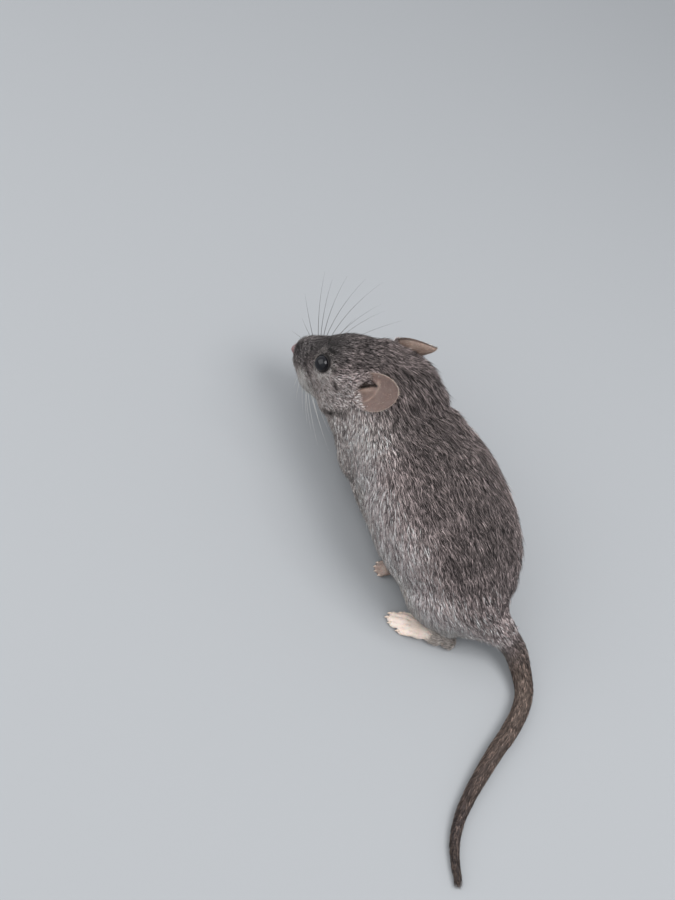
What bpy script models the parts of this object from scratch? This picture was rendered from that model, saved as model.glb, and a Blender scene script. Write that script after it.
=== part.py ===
"""A young brown rat, life size, crouched on the floor and looking to its left.

The body is modelled whole and then parted by thin cuts, so that the pieces meet face to face.
Every solid reaches out to the tips of the coat. Units are metres, +Z is up. The rat's trunk points
along -Y, so its left side is +X, and the origin is on the floor under the middle of the whole animal.
"""

import math

import bmesh
import bpy
import numpy as np
from mathutils import Matrix, Vector

MM = 0.001

# Driving sizes
CUT = 0.3 * MM  # the thin gap between neighbouring solids
EYE_RADIUS = 3.5 * MM
EAR_HEIGHT = 20.5 * MM
EAR_WIDTH = 17.6 * MM  # measured along the curl
EAR_THICKNESS = 0.9 * MM

# How finely the solids are faceted
BODY_VOXEL = 1.5 * MM
BODY_TRIANGLES = 2300
FOOT_VOXEL = 0.42 * MM
FOOT_TRIANGLES = 300
TAIL_RINGS, TAIL_HIDDEN, TAIL_SIDES = 37, 4, 10
EAR_STEPS, EAR_SIDES = 9, 8
CUTTER_FACETS = 12
EYE_FACETS, NOSE_FACETS = 14, 12


def place(x, y, z):
    """A point given in millimetres, as metres."""
    return Vector((x, y, z)) * MM


# The head's own frame: between the ears, turned 29 degrees to the left and bowed 37 degrees.
HEAD_CENTRE = place(3.4, -86.5, 47.5)
HEAD_TURN = math.radians(29.0)
HEAD_BOW = math.radians(37.0)

# Forward, sideways and up in the head's frame, in mm
NOSE_SPOT = (43.6, 0.0, 1.0)
EYE_SPOT = (22.0, 9.4, 5.6)

# The ears, left (1) and right (-1). The left one is open, the right one is turned back and curled up.
EAR_SPOT = {1: (0.9, 19.6, 3.4), -1: (0.8, -16.9, 0.5)}
EAR_FACING = {1: math.radians(36), -1: math.radians(29)}
EAR_SPREAD = {1: math.radians(9), -1: math.radians(9)}
EAR_RISE = {1: math.radians(2), -1: math.radians(25)}
EAR_CURL = {1: math.radians(42), -1: math.radians(142)}
EAR_FUNNEL = {1: math.radians(150), -1: math.radians(80)}  # how much more it curls at the root
EAR_LEAN = {1: 3.2 * MM, -1: -2.8 * MM}  # how far the tip stands out from the neck

# Where the limbs stand
LEFT_HEEL, LEFT_HIND_TURN = place(4.0, 20.0, 0), math.radians(51)
RIGHT_HEEL, RIGHT_HIND_TURN = place(-17.0, 9.0, 0), math.radians(-14)
LEFT_WRIST, LEFT_FORE_TURN = place(12.2, -17.2, 0), math.radians(68)
RIGHT_WRIST, RIGHT_FORE_TURN = place(-15.0, -70.0, 0), math.radians(-8)

# The trunk from the tail's root to the nape: side, along, height, half width, half height, in mm
TRUNK = {
    "tail root": (-9.5, 25.0, 15.5, 6.0, 6.0),
    "rump": (-5.0, 18.0, 17.0, 11.5, 11.5),
    "buttocks": (-1.2, 9.5, 21.0, 17.8, 18.4),
    "hips": (-0.5, -2.0, 26.2, 25.2, 25.4),
    "loins": (-0.5, -15.0, 29.0, 29.0, 28.6),
    "belly": (-1.2, -30.0, 30.4, 29.8, 29.3),
    "ribs": (-2.0, -46.0, 31.2, 28.2, 27.8),
    "shoulders": (1.2, -60.0, 31.0, 25.0, 24.6),
    "neck": (1.5, -71.0, 33.4, 24.0, 23.4),
    "nape": (-1.4, -79.0, 37.4, 24.6, 23.4),
    "occiput": (1.0, -86.5, 41.0, 17.6, 16.4),
}

# The head from its back to the muzzle: forward of the ears, height, half width, half height, in mm
HEAD = {
    "back": (-11.0, -5.6, 17.0, 16.4),
    "ears": (0.0, -5.6, 17.2, 17.9),
    "cheeks": (10.0, -5.6, 17.0, 18.2),
    "eyes": (19.0, -5.0, 15.6, 17.0),
    "eye corners": (26.0, -4.0, 13.4, 15.0),
    "whisker pads": (33.0, -2.4, 11.6, 12.8),
    "muzzle": (38.2, -0.8, 8.6, 9.4),
    "lips": (41.6, 0.0, 5.0, 5.4),
}
HEAD_PEAR = 0.22  # how much narrower than its middle the top of the head is

# The tail on the floor, from inside the rump to the tip: side, along, height, radius, in mm
TAIL_LINE = [
    (-7.0, 19.0, 18.0, 4.6),
    (-12.0, 25.5, 13.6, 4.8),
    (-16.5, 32.5, 9.0, 4.6),
    (-17.0, 41.0, 5.4, 4.0),
    (-14.5, 49.0, 3.3, 3.6),
    (-8.5, 55.0, 3.1, 3.4),
    (1.0, 60.5, 3.0, 3.3),
    (10.0, 64.5, 2.8, 3.1),
    (20.0, 69.5, 2.6, 2.85),
    (29.0, 74.5, 2.2, 2.5),
    (36.5, 79.5, 1.9, 2.15),
    (42.5, 85.5, 1.6, 1.85),
    (46.0, 91.5, 1.4, 1.6),
    (48.5, 98.0, 1.2, 1.35),
]
TAIL_SETTLED = 0.94  # height of the tail's middle over its radius, where it lies on the floor
TAIL_LENGTHS = ("tail_base", "tail_middle", "tail_end", "tail_tip")

FUR = ("coat", (0.17, 0.15, 0.14), 0.8)
BARE_EAR = ("ear skin", (0.30, 0.20, 0.17), 0.55)
BARE_FOOT = ("foot skin", (0.62, 0.52, 0.46), 0.55)
SCALY_TAIL = ("tail skin", (0.16, 0.12, 0.09), 0.6)
WET_NOSE = ("nose skin", (0.50, 0.27, 0.25), 0.4)
EYEBALL = ("eye", (0.012, 0.012, 0.016), 0.05)


# Blender helpers -------------------------------------------------------------------------------


def clear_scene():
    """Removes what the startup file holds."""
    for found in list(bpy.data.objects):
        bpy.data.objects.remove(found)


def collection(name):
    """A new collection in the scene."""
    made = bpy.data.collections.new(name)
    bpy.context.scene.collection.children.link(made)
    return made


def material(name, colour, roughness):
    """A Principled material, made once for each name."""
    found = bpy.data.materials.get(name)
    if found:
        return found
    made = bpy.data.materials.new(name)
    made.use_nodes = True
    shader = made.node_tree.nodes["Principled BSDF"]
    shader.inputs["Base Color"].default_value = (*colour, 1)
    shader.inputs["Roughness"].default_value = roughness
    shader.inputs["Metallic"].default_value = 0
    return made


def object_of(name, mesh):
    """A helper object that isn't rendered until it is named a node."""
    made = bpy.data.objects.new(name, mesh)
    HELPERS.objects.link(made)
    made.hide_render = True
    made.display_type = "WIRE"
    return made


def settled(thing):
    """The object with its modifiers and its place baked into a new mesh."""
    bpy.context.view_layer.update()
    graph = bpy.context.evaluated_depsgraph_get()
    mesh = bpy.data.meshes.new_from_object(thing.evaluated_get(graph))
    mesh.transform(thing.matrix_world)
    made = object_of(thing.name + "_settled", mesh)
    bpy.data.objects.remove(thing)
    return made


def changed(thing, kind, **settings):
    """The object with one modifier applied."""
    modifier = thing.modifiers.new(kind.lower(), kind)
    for setting, value in settings.items():
        setattr(modifier, setting, value)
    return settled(thing)


def copy_of(thing):
    """A separate copy with its own mesh."""
    return object_of(thing.name + "_copy", thing.data.copy())


def joined(things):
    """One object with the shells of all of them, still overlapping."""
    mesh = bmesh.new()
    for thing in things:
        mesh.from_mesh(thing.data)
        bpy.data.objects.remove(thing)
    made = bpy.data.meshes.new("joined")
    mesh.to_mesh(made)
    mesh.free()
    return object_of("joined", made)


def cut(thing, tool, operation):
    """A copy of the object after a Boolean with the tool."""
    made = copy_of(thing)
    return changed(made, "BOOLEAN", operation=operation, object=tool, solver="EXACT")


def grown(thing, distance):
    """A copy of the object, moved out along its normals."""
    return changed(copy_of(thing), "DISPLACE", strength=distance, mid_level=0)


def node(name, thing, finish):
    """Names a finished solid as a node of the model."""
    thing.name = name
    thing.data.name = name
    thing.data.materials.clear()
    thing.data.materials.append(material(*finish))
    thing.data.shade_smooth()
    thing.data.set_sharp_from_angle(angle=math.radians(50))
    HELPERS.objects.unlink(thing)
    RAT.objects.link(thing)
    thing.hide_render = False
    thing.display_type = "TEXTURED"
    return thing


# Shapes ----------------------------------------------------------------------------------------


def along(points, count):
    """Points evenly spaced on a smooth curve through the given rows of numbers."""
    rows = np.array(points, float)
    ends = np.vstack([2 * rows[0] - rows[1], rows, 2 * rows[-1] - rows[-2]])
    found = []
    for i in range(len(rows) - 1):
        a, b, c, d = ends[i : i + 4]
        for t in np.linspace(0, 1, 24, endpoint=False):
            found.append(
                b + 0.5 * ((c - a) * t + (2 * a - 5 * b + 4 * c - d) * t**2 + (3 * b - a - 3 * c + d) * t**3)
            )
    found = np.array([*found, rows[-1]])
    steps = np.linalg.norm(np.diff(found[:, :3], axis=0), axis=1)
    travelled = np.concatenate([[0], np.cumsum(steps)])
    wanted = np.linspace(0, travelled[-1], count)
    return np.stack([np.interp(wanted, travelled, column) for column in found.T], 1)


def loft(name, rings, sides, round_ends=True, pear=0.0):
    """A closed tube through (centre, sideways, upwards, half width, half height) rings, with domed ends.

    pear narrows the top of each ring and widens its bottom by that share."""
    mesh = bmesh.new()
    first, last = rings[0], rings[-1]
    if round_ends:
        rings = [dome(first, rings[1], s) for s in (0.97, 0.8)] + rings
        rings += [dome(last, rings[-2], s) for s in (0.8, 0.97)]
    loops = []
    for centre, side, up, width, height in rings:
        turns = [2 * math.pi * i / sides for i in range(sides)]
        points = [
            centre + side * (width * math.cos(t) * (1 - pear * math.sin(t))) + up * (height * math.sin(t))
            for t in turns
        ]
        loops.append([mesh.verts.new(p) for p in points])
    for low, high in zip(loops, loops[1:]):
        for i in range(sides):
            j = (i + 1) % sides
            mesh.faces.new((low[i], low[j], high[j], high[i]))
    mesh.faces.new(loops[0])
    mesh.faces.new(loops[-1])
    bmesh.ops.recalc_face_normals(mesh, faces=mesh.faces)
    made = bpy.data.meshes.new(name)
    mesh.to_mesh(made)
    mesh.free()
    return object_of(name, made)


def dome(ring, inner, share):
    """A smaller ring beyond an end ring, so that the end is round."""
    centre, side, up, width, height = ring
    outward = (centre - inner[0]).normalized()
    scale = math.sqrt(1 - share**2)
    reach = share * 0.7 * min(width, height)
    return (centre + outward * reach, side, up, width * scale, height * scale)


def tube_rings(points, widths, heights, up=Vector((0, 0, 1))):
    """Rings square to a line of points."""
    rings = []
    for i, point in enumerate(points):
        ahead = points[min(i + 1, len(points) - 1)]
        behind = points[max(i - 1, 0)]
        tangent = (ahead - behind).normalized()
        side = up.cross(tangent).normalized()
        rings.append((point, side, tangent.cross(side), widths[i], heights[i]))
    return rings


def limb(name, stops, sides=14):
    """A rounded limb through (x, y, z, radius) stops in millimetres."""
    rows = along([[*place(*stop[:3]), stop[3] * MM] for stop in stops], 3 * len(stops))
    points = [Vector(row[:3]) for row in rows]
    radii = [row[3] for row in rows]
    return loft(name, tube_rings(points, radii, radii, up=Vector((0.3, 0.2, 1)).normalized()), sides)


def ball(name, centre, radii, turn=Matrix.Identity(4), facets=18):
    """An ellipsoid of the given half sizes in metres."""
    mesh = bmesh.new()
    bmesh.ops.create_uvsphere(mesh, u_segments=facets, v_segments=facets * 2 // 3, radius=1)
    made = bpy.data.meshes.new(name)
    mesh.to_mesh(made)
    mesh.free()
    made.transform(Matrix.Translation(centre) @ turn @ Matrix.Diagonal((*radii, 1)))
    return object_of(name, made)


def block(name, corner, size, turn=Matrix.Identity(4)):
    """A box from its low corner and size, turned about the origin of its frame."""
    mesh = bmesh.new()
    bmesh.ops.create_cube(mesh, size=1)
    made = bpy.data.meshes.new(name)
    mesh.to_mesh(made)
    mesh.free()
    middle = Vector(corner) + Vector(size) / 2
    made.transform(turn @ Matrix.Translation(middle) @ Matrix.Diagonal((*size, 1)))
    return object_of(name, made)


def fused(things, voxel, smoothing, triangles):
    """Overlapping shapes as one smooth skin of about that many triangles."""
    whole = changed(joined(things), "REMESH", mode="VOXEL", voxel_size=voxel, adaptivity=0)
    whole = changed(whole, "SMOOTH", factor=0.5, iterations=smoothing)
    whole = changed(whole, "TRIANGULATE")
    share = min(1.0, triangles / len(whole.data.polygons))
    return changed(whole, "DECIMATE", ratio=share)


# The head's frame ------------------------------------------------------------------------------


def head_frame():
    """Columns are forward, left and up; the origin is between the ears."""
    level = Vector((math.sin(HEAD_TURN), -math.cos(HEAD_TURN), 0))
    left = Vector((0, 0, 1)).cross(level)
    forward = level * math.cos(HEAD_BOW) - Vector((0, 0, 1)) * math.sin(HEAD_BOW)
    up = forward.cross(left)
    axes = Matrix((forward, left, up)).transposed().to_4x4()
    return Matrix.Translation(HEAD_CENTRE) @ axes


def on_head(forward, left, up):
    """A point in the head's frame, given in millimetres."""
    return HEAD_FRAME @ place(forward, left, up)


# The animal ------------------------------------------------------------------------------------


def make_trunk():
    """The trunk as one tube from the tail's root to the nape."""
    rows = along([[v * MM for v in (x, y, z, w, h)] for x, y, z, w, h in TRUNK.values()], 26)
    points = [Vector(row[:3]) for row in rows]
    return loft("trunk", tube_rings(points, rows[:, 3], rows[:, 4]), 36)


def make_head():
    """The head as one tube from its back to the lips, with the cheeks filled out."""
    rows = along([[v * MM for v in (f, 0, u, w, h)] for f, u, w, h in HEAD.values()], 22)
    left, up = HEAD_FRAME.col[1].xyz, HEAD_FRAME.col[2].xyz
    rings = [(HEAD_FRAME @ Vector(row[:3]), left, up, row[3], row[4]) for row in rows]
    skull = loft("skull", rings, 28, pear=HEAD_PEAR)
    cheeks = []
    for side in (-1, 1):
        cheeks.append(ball("cheek", on_head(15.0, 8.6 * side, -11.0), place(13.5, 10.8, 10.0), HEAD_AXES))
        cheeks.append(ball("pad", on_head(31.4, 5.6 * side, -6.6), place(8.0, 6.4, 6.6), HEAD_AXES))
    brow = ball("brow", on_head(12.0, 0, 2.8), place(21.0, 11.5, 11.0), HEAD_AXES)
    chin = ball("chin", on_head(29.0, 0, -12.0), place(9.0, 6.0, 5.0), HEAD_AXES)
    return [skull, brow, chin, *cheeks]


def make_limbs():
    """Haunches, shanks, shoulders, arms and the furred ends of the legs."""
    return [
        ball("haunch", place(8.6, 1.6, 21.4), place(15.8, 17.8, 18.2)),
        ball("haunch", place(-12.5, -1.0, 21.0), place(14.0, 18.0, 18.0)),
        limb("shank", [(13.6, -8, 13, 7.8), (9.6, 4, 10.4, 6.9), (5.8, 16.0, 6.6, 4.4)]),
        limb("shank", [(-23, -12, 12, 7.5), (-20, -2, 9, 7.0), (-17, 6.5, 5.6, 4.2)]),
        ball("shoulder", place(12.5, -62.0, 25.5), place(13.5, 15.0, 16.5)),
        ball("shoulder", place(-13.5, -63.0, 25.5), place(13.5, 15.0, 16.5)),
        limb("arm", [(14, -57, 17, 8.0), (14, -45, 11, 6.4), (13, -31, 6.5, 4.6), (12.8, -20.0, 4.0, 3.2)]),
        limb("arm", [(-18, -60, 18, 7.6), (-18.5, -56, 11, 5.8), (-16, -63, 5.6, 3.9), (-15, -68, 3.6, 3.0)]),
        ball("breast", place(6.0, -71.0, 24.0), place(16.5, 16.0, 15.0)),
        ball("throat", on_head(9.0, 8.5, -18.0), place(15.0, 14.0, 10.5), HEAD_AXES),
    ]


def make_tail_root():
    """The thick furred start of the tail, fused with the rump."""
    stops = [(-5.5, 16, 19.0, 10.5), (-9.5, 23, 15.6, 8.0), (-14.0, 29.0, 11.4, 6.0)]
    return limb("tail_root", stops)


def make_toe(root, reach, radius, turn, claw):
    """One toe with its claw, lying on the floor: root, reach, radius and claw in millimetres."""
    heading = Matrix.Rotation(turn, 4, "Z") @ Vector((1, 0, 0))
    stops = []
    for share, height, thick in ((0, 2.2, 1.1), (0.4, 2.3, 1.05), (0.75, 1.5, 1.0), (1.0, 1.05, 0.9)):
        spot = Vector((*root, 0)) + heading * (share * reach)
        stops.append((spot.x, spot.y, height * radius, radius * thick))
    nail = []
    for share, height, thick in ((-0.4, 1.3, 0.6), (0.5, 1.15, 0.5), (1.0, 0.5, 0.32)):
        spot = Vector((*root, 0)) + heading * (reach + radius * 0.6 + share * claw)
        nail.append((spot.x, spot.y, height * radius, radius * thick))
    return [limb("toe", stops, sides=10), limb("claw", nail, sides=8)]


# Each toe: across the foot, along it, length, radius (mm) and how far it spreads (degrees, outward is +)
HIND_TOES = (
    (-5.2, 16.5, 6.0, 1.3, -4),
    (-3.4, 20.5, 8.0, 1.4, -3),
    (-1.3, 20.8, 8.0, 1.4, -2),
    (0.8, 19.6, 7.2, 1.4, -1),
    (2.8, 16.0, 6.0, 1.25, 1),
)
FORE_TOES = (
    (-2.3, 5.0, 2.0, 1.1, -8),
    (-0.8, 5.8, 2.4, 1.15, -3),
    (0.8, 5.8, 2.4, 1.15, 3),
    (2.3, 5.0, 2.0, 1.1, 8),
)
HIND_CLAW, FORE_CLAW = 1.5, 1.0
HIND_SOLE = [(1.0, 0, 2.8, 2.7), (7.0, 0, 2.7, 3.0), (14.0, 0, 2.5, 3.1), (20.0, 0, 2.2, 2.5)]
FORE_SOLE = [(-2.0, 0, 3.0, 2.6), (2.0, 0, 2.5, 2.4), (5.5, 0, 2.2, 2.2)]
# The pads that widen the sole: along, across, height and half sizes, in mm
HIND_PADS = ((16.8, -1.2, 2.7, 6.2, 5.4, 2.9), (9.0, -0.3, 2.8, 7.5, 4.2, 3.0), (3.0, 0, 2.7, 3.8, 3.2, 2.8))
FORE_PADS = ((4.6, 0, 2.3, 3.2, 3.3, 2.5), (1.0, 0, 2.6, 3.0, 2.6, 2.5))


def make_foot(kind, heel, turn, mirror, flesh):
    """A foot from its sole, pads and toes, modelled pointing along +X and then stood at its heel."""
    toes, sole, pads, claw = kind
    shapes = [limb("sole", sole, sides=16)]
    shapes += [ball("pad", place(*spot[:3]), place(*spot[3:])) for spot in pads]
    for across, start, reach, radius, spread in toes:
        shapes += make_toe((start, across), reach, radius, math.radians(spread), claw)
    foot = fused(shapes, FOOT_VOXEL, 2, FOOT_TRIANGLES)
    heading = Matrix.Rotation(turn - math.pi / 2, 4, "Z")
    foot.data.transform(Matrix.Translation(heel) @ heading @ Matrix.Diagonal((1, mirror, 1, 1)))
    if mirror < 0:
        foot.data.flip_normals()
    return stood(biggest(cut(foot, flesh, "DIFFERENCE")))


def stood(thing):
    """The shape with all that lies under the floor cut off, which leaves flats to stand on."""
    floor = block("floor", place(-200, -200, -40), place(400, 400, 40))
    made = cut(thing, floor, "DIFFERENCE")
    bpy.data.objects.remove(thing)
    bpy.data.objects.remove(floor)
    return made


def biggest(thing):
    """The largest loose piece, without the slivers that a Boolean can leave inside."""
    mesh = bmesh.new()
    mesh.from_mesh(thing.data)
    left = set(mesh.faces)
    pieces = []
    while left:
        piece, edge = set(), [left.pop()]
        while edge:
            face = edge.pop()
            piece.add(face)
            for neighbour in {f for e in face.edges for f in e.link_faces} & left:
                left.discard(neighbour)
                edge.append(neighbour)
        pieces.append(piece)
    pieces.sort(key=lambda piece: sum(f.calc_area() for f in piece))
    bmesh.ops.delete(mesh, geom=[f for piece in pieces[:-1] for f in piece], context="FACES")
    mesh.to_mesh(thing.data)
    mesh.free()
    return thing


def ear_point(share, across, side):
    """A point of the ear's middle surface: share from root to tip, across from -1 (low) to 1 (high)."""
    width = EAR_WIDTH * math.sin(math.pi * (0.14 + 0.86 * share)) ** 0.55 if share < 0.999 else 0.0
    curl = EAR_CURL[side] + EAR_FUNNEL[side] * (1 - share) ** 4
    radius = max(width, 0.1 * MM) / curl
    turn = across * curl / 2
    depth = radius * (math.cos(turn) - math.cos(curl / 2))
    lean = EAR_LEAN[side] * share**2
    return Vector((-share * EAR_HEIGHT, side * (lean - depth), radius * math.sin(turn)))


def make_ear(side, flesh):
    """One ear: a cupped leaf, rolled to a funnel at its root, its hollow facing outward."""
    mesh = bmesh.new()
    rows = []
    for i in range(EAR_STEPS + 1):
        share = math.sin(math.pi / 2 * i / EAR_STEPS)
        columns = [2 * j / EAR_SIDES - 1 for j in range(EAR_SIDES + 1)]
        rows.append([mesh.verts.new(ear_point(share, c, side)) for c in columns])
    for low, high in zip(rows, rows[1:]):
        for j in range(EAR_SIDES):
            mesh.faces.new((low[j], low[j + 1], high[j + 1], high[j]))
    made = bpy.data.meshes.new("ear")
    mesh.to_mesh(made)
    mesh.free()
    set_back = Matrix.Rotation(side * EAR_SPREAD[side], 4, "Z") @ Matrix.Rotation(EAR_RISE[side], 4, "Y")
    face_up = Matrix.Rotation(side * EAR_FACING[side], 4, "X")
    root = on_head(*EAR_SPOT[side])
    made.transform(Matrix.Translation(root) @ HEAD_AXES @ set_back @ face_up)
    ear = changed(object_of("ear", made), "SOLIDIFY", thickness=EAR_THICKNESS, offset=0, use_even_offset=True)
    ear = changed(ear, "WELD", merge_threshold=0.02 * MM)
    ear = upright(changed(ear, "TRIANGULATE"))
    return biggest(cut(ear, flesh, "DIFFERENCE"))


def upright(thing):
    """The same closed mesh with its faces pointing out."""
    mesh = bmesh.new()
    mesh.from_mesh(thing.data)
    bmesh.ops.recalc_face_normals(mesh, faces=mesh.faces)
    mesh.to_mesh(thing.data)
    mesh.free()
    return thing


def tail_rows():
    """Evenly spaced centres and radii of the free tail, in metres."""
    return along([[v * MM for v in stop] for stop in TAIL_LINE], TAIL_RINGS + TAIL_HIDDEN)[TAIL_HIDDEN:]


def make_tail():
    """The free tail, in lengths that meet at thin cuts, flattened where it lies on the floor."""
    rows = tail_rows()
    count = len(rows)
    radii = [row[3] for row in rows]
    points = [Vector((*row[:2], max(row[2], radius * TAIL_SETTLED))) for row, radius in zip(rows, radii)]
    rings = tube_rings(points, radii, radii)
    per_length = (count - 1) // len(TAIL_LENGTHS)
    made = []
    for i, name in enumerate(TAIL_LENGTHS):
        own = list(rings[i * per_length : (i + 1) * per_length + 1])
        if i == len(TAIL_LENGTHS) - 1:
            own = rings[i * per_length :]
            own += [dome(own[-1], own[-2], share) for share in (0.7, 0.95)]
        centre, sideways, upwards, width, height = own[0]
        along_tail = (own[1][0] - centre).normalized()
        own[0] = (centre + along_tail * CUT, sideways, upwards, width, height)
        made.append((name, stood(loft(name, own, TAIL_SIDES, round_ends=False))))
    return made


def part_body(flesh):
    """Parts the fused body into haunches, shoulders, head, neck, chest, belly and rump."""
    pieces = {}
    rest = flesh
    rounds = {
        "thigh_left": (place(15.5, 3.0, 15.0), place(17.0, 21.5, 21.0)),
        "thigh_right": (place(-20.5, 0.0, 15.0), place(15.0, 20.5, 20.0)),
        "foreleg_left": (place(21.0, -43.5, 13.0), place(10.5, 24.5, 13.5)),
        "foreleg_right": (place(-20.0, -62.0, 13.0), place(10.0, 13.5, 14.5)),
    }
    for name, (centre, radii) in rounds.items():
        pieces[name], rest = parted(rest, ball(name, centre, radii, facets=CUTTER_FACETS))
    span = place(160, 160, 160)
    back_of_head = HEAD_FRAME @ Matrix.Rotation(math.radians(-24), 4, "Y")
    slices = {
        "head": block("head", place(-9.5, -80, -80), span, back_of_head),
        "neck": block("neck", place(-80, -160 - 69, -40), span),
        "chest": block("chest", place(-80, -160 - 42, -40), span),
        "belly": block("belly", place(-80, -160 - 8, -40), span),
    }
    for name, tool in slices.items():
        pieces[name], rest = parted(rest, tool)
    pieces["rump"] = rest
    return {name: biggest(piece) for name, piece in pieces.items()}


def parted(body, tool):
    """What lies inside the tool, and what lies outside it, a thin cut apart."""
    inside = cut(body, tool, "INTERSECT")
    wider = grown(tool, CUT) if len(tool.data.vertices) > 8 else widened(tool)
    outside = cut(body, wider, "DIFFERENCE")
    bpy.data.objects.remove(tool)
    bpy.data.objects.remove(wider)
    bpy.data.objects.remove(body)
    return inside, outside


def widened(box):
    """A box moved out by the cut on every face."""
    made = copy_of(box)
    mesh = bmesh.new()
    mesh.from_mesh(made.data)
    for face in mesh.faces:
        for vertex in face.verts:
            vertex.co += face.normal * CUT
        mesh.normal_update()
    mesh.to_mesh(made.data)
    mesh.free()
    return made


def make_eye(side, radius):
    """One eyeball, or the socket that holds it."""
    spot = on_head(EYE_SPOT[0], side * EYE_SPOT[1], EYE_SPOT[2])
    return ball("eye", spot, Vector((radius, radius, radius)), facets=EYE_FACETS)


def stand_on_origin():
    """Moves every piece so that the origin is on the floor under the middle of the whole."""
    corners = [Vector(v.co) for thing in RAT.objects for v in thing.data.vertices]
    low = Vector([min(c[i] for c in corners) for i in range(3)])
    high = Vector([max(c[i] for c in corners) for i in range(3)])
    shift = Vector((-(low.x + high.x) / 2, -(low.y + high.y) / 2, -low.z))
    for thing in RAT.objects:
        thing.data.transform(Matrix.Translation(shift))
    print("shift (mm):", [round(v / MM, 2) for v in shift])


def build():
    """Makes every node of the rat."""
    body = [make_trunk(), *make_head(), *make_limbs(), make_tail_root()]
    flesh = stood(fused(body, BODY_VOXEL, 4, BODY_TRIANGLES))
    clear_of_flesh = grown(flesh, CUT)

    tail_start = Vector(tail_rows()[0][:3])
    backwards = Vector((-0.45, 0.72, -0.53)).to_track_quat("Z", "Y").to_matrix().to_4x4()
    root_cut = Matrix.Translation(tail_start) @ backwards
    past_root = block("past_root", place(-9, -9, -CUT / MM), place(18, 18, 30), root_cut)
    trimmed = cut(flesh, past_root, "DIFFERENCE")
    bpy.data.objects.remove(flesh)
    bpy.data.objects.remove(past_root)

    pieces = part_body(trimmed)
    sockets = [make_eye(side, EYE_RADIUS + CUT) for side in (-1, 1)]
    nose = ball("nose", on_head(*NOSE_SPOT), place(2.6, 3.2, 2.5), HEAD_AXES, NOSE_FACETS)
    head = pieces.pop("head")
    for tool in (*sockets, grown(nose, CUT)):
        head = cut(head, tool, "DIFFERENCE")
    node("head", biggest(head), FUR)
    node("nose", nose, WET_NOSE)
    for name, piece in pieces.items():
        node(name, piece, FUR)

    for side, word in ((1, "left"), (-1, "right")):
        node(f"eye_{word}", make_eye(side, EYE_RADIUS), EYEBALL)
        node(f"ear_{word}", make_ear(side, clear_of_flesh), BARE_EAR)
    hind = (HIND_TOES, HIND_SOLE, HIND_PADS, HIND_CLAW)
    fore = (FORE_TOES, FORE_SOLE, FORE_PADS, FORE_CLAW)
    feet = {
        "hindfoot_left": (hind, LEFT_HEEL, LEFT_HIND_TURN, 1),
        "hindfoot_right": (hind, RIGHT_HEEL, RIGHT_HIND_TURN, -1),
        "forefoot_left": (fore, LEFT_WRIST, LEFT_FORE_TURN, 1),
        "forefoot_right": (fore, RIGHT_WRIST, RIGHT_FORE_TURN, -1),
    }
    for name, stance in feet.items():
        node(name, make_foot(*stance, clear_of_flesh), BARE_FOOT)
    for name, length in make_tail():
        node(name, length, SCALY_TAIL)
    stand_on_origin()


clear_scene()
RAT = collection("young brown rat")
HELPERS = collection("helpers")
HEAD_FRAME = head_frame()
HEAD_AXES = HEAD_FRAME.to_3x3().to_4x4()
build()
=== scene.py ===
import math

import bmesh
import bpy
import numpy as np
from mathutils import Matrix, Vector
from mathutils.kdtree import KDTree


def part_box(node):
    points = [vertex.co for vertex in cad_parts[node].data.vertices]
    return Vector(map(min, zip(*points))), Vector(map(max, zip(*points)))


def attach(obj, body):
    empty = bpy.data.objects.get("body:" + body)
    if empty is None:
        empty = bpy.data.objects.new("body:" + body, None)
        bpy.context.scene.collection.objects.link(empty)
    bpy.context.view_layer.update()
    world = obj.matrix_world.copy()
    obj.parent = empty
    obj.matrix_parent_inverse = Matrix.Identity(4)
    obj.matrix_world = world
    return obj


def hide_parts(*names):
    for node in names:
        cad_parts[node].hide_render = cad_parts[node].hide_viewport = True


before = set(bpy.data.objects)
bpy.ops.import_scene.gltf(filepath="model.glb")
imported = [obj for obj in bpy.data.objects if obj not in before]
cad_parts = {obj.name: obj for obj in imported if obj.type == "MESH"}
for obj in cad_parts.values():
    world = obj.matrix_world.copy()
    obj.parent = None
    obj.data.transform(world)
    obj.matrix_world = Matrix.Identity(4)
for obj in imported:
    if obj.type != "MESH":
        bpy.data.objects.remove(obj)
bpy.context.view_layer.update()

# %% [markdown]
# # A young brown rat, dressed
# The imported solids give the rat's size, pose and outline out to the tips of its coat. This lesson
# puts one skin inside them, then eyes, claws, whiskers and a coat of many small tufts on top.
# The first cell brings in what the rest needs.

MM = 0.001
chance = np.random.default_rng(20)
bpy.ops.object.select_all(action="DESELECT")


def linear(hex_colour):
    """An sRGB hex colour as linear red, green and blue."""
    parts = [int(hex_colour[i : i + 2], 16) / 255 for i in (1, 3, 5)]
    return [c / 12.92 if c <= 0.04045 else ((c + 0.055) / 1.055) ** 2.4 for c in parts]


# %% [markdown]
# ## The camera
# It looks down on the rat from over its left hip, as someone bending over it would, and is rolled a
# little. Its position and axes are in millimetres, in the frame that the solids share.

# %% Camera
CAMERA_PLACE = Vector((212.13, 80.73, 333.89))
CAMERA_RIGHT = Vector((-0.83795, 0.42541, 0.34187))
CAMERA_UP = Vector((-0.21679, -0.83435, 0.50685))
CAMERA_BACK = Vector((0.50085, 0.35060, 0.79135))
CAMERA_LENS = 38.0

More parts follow.
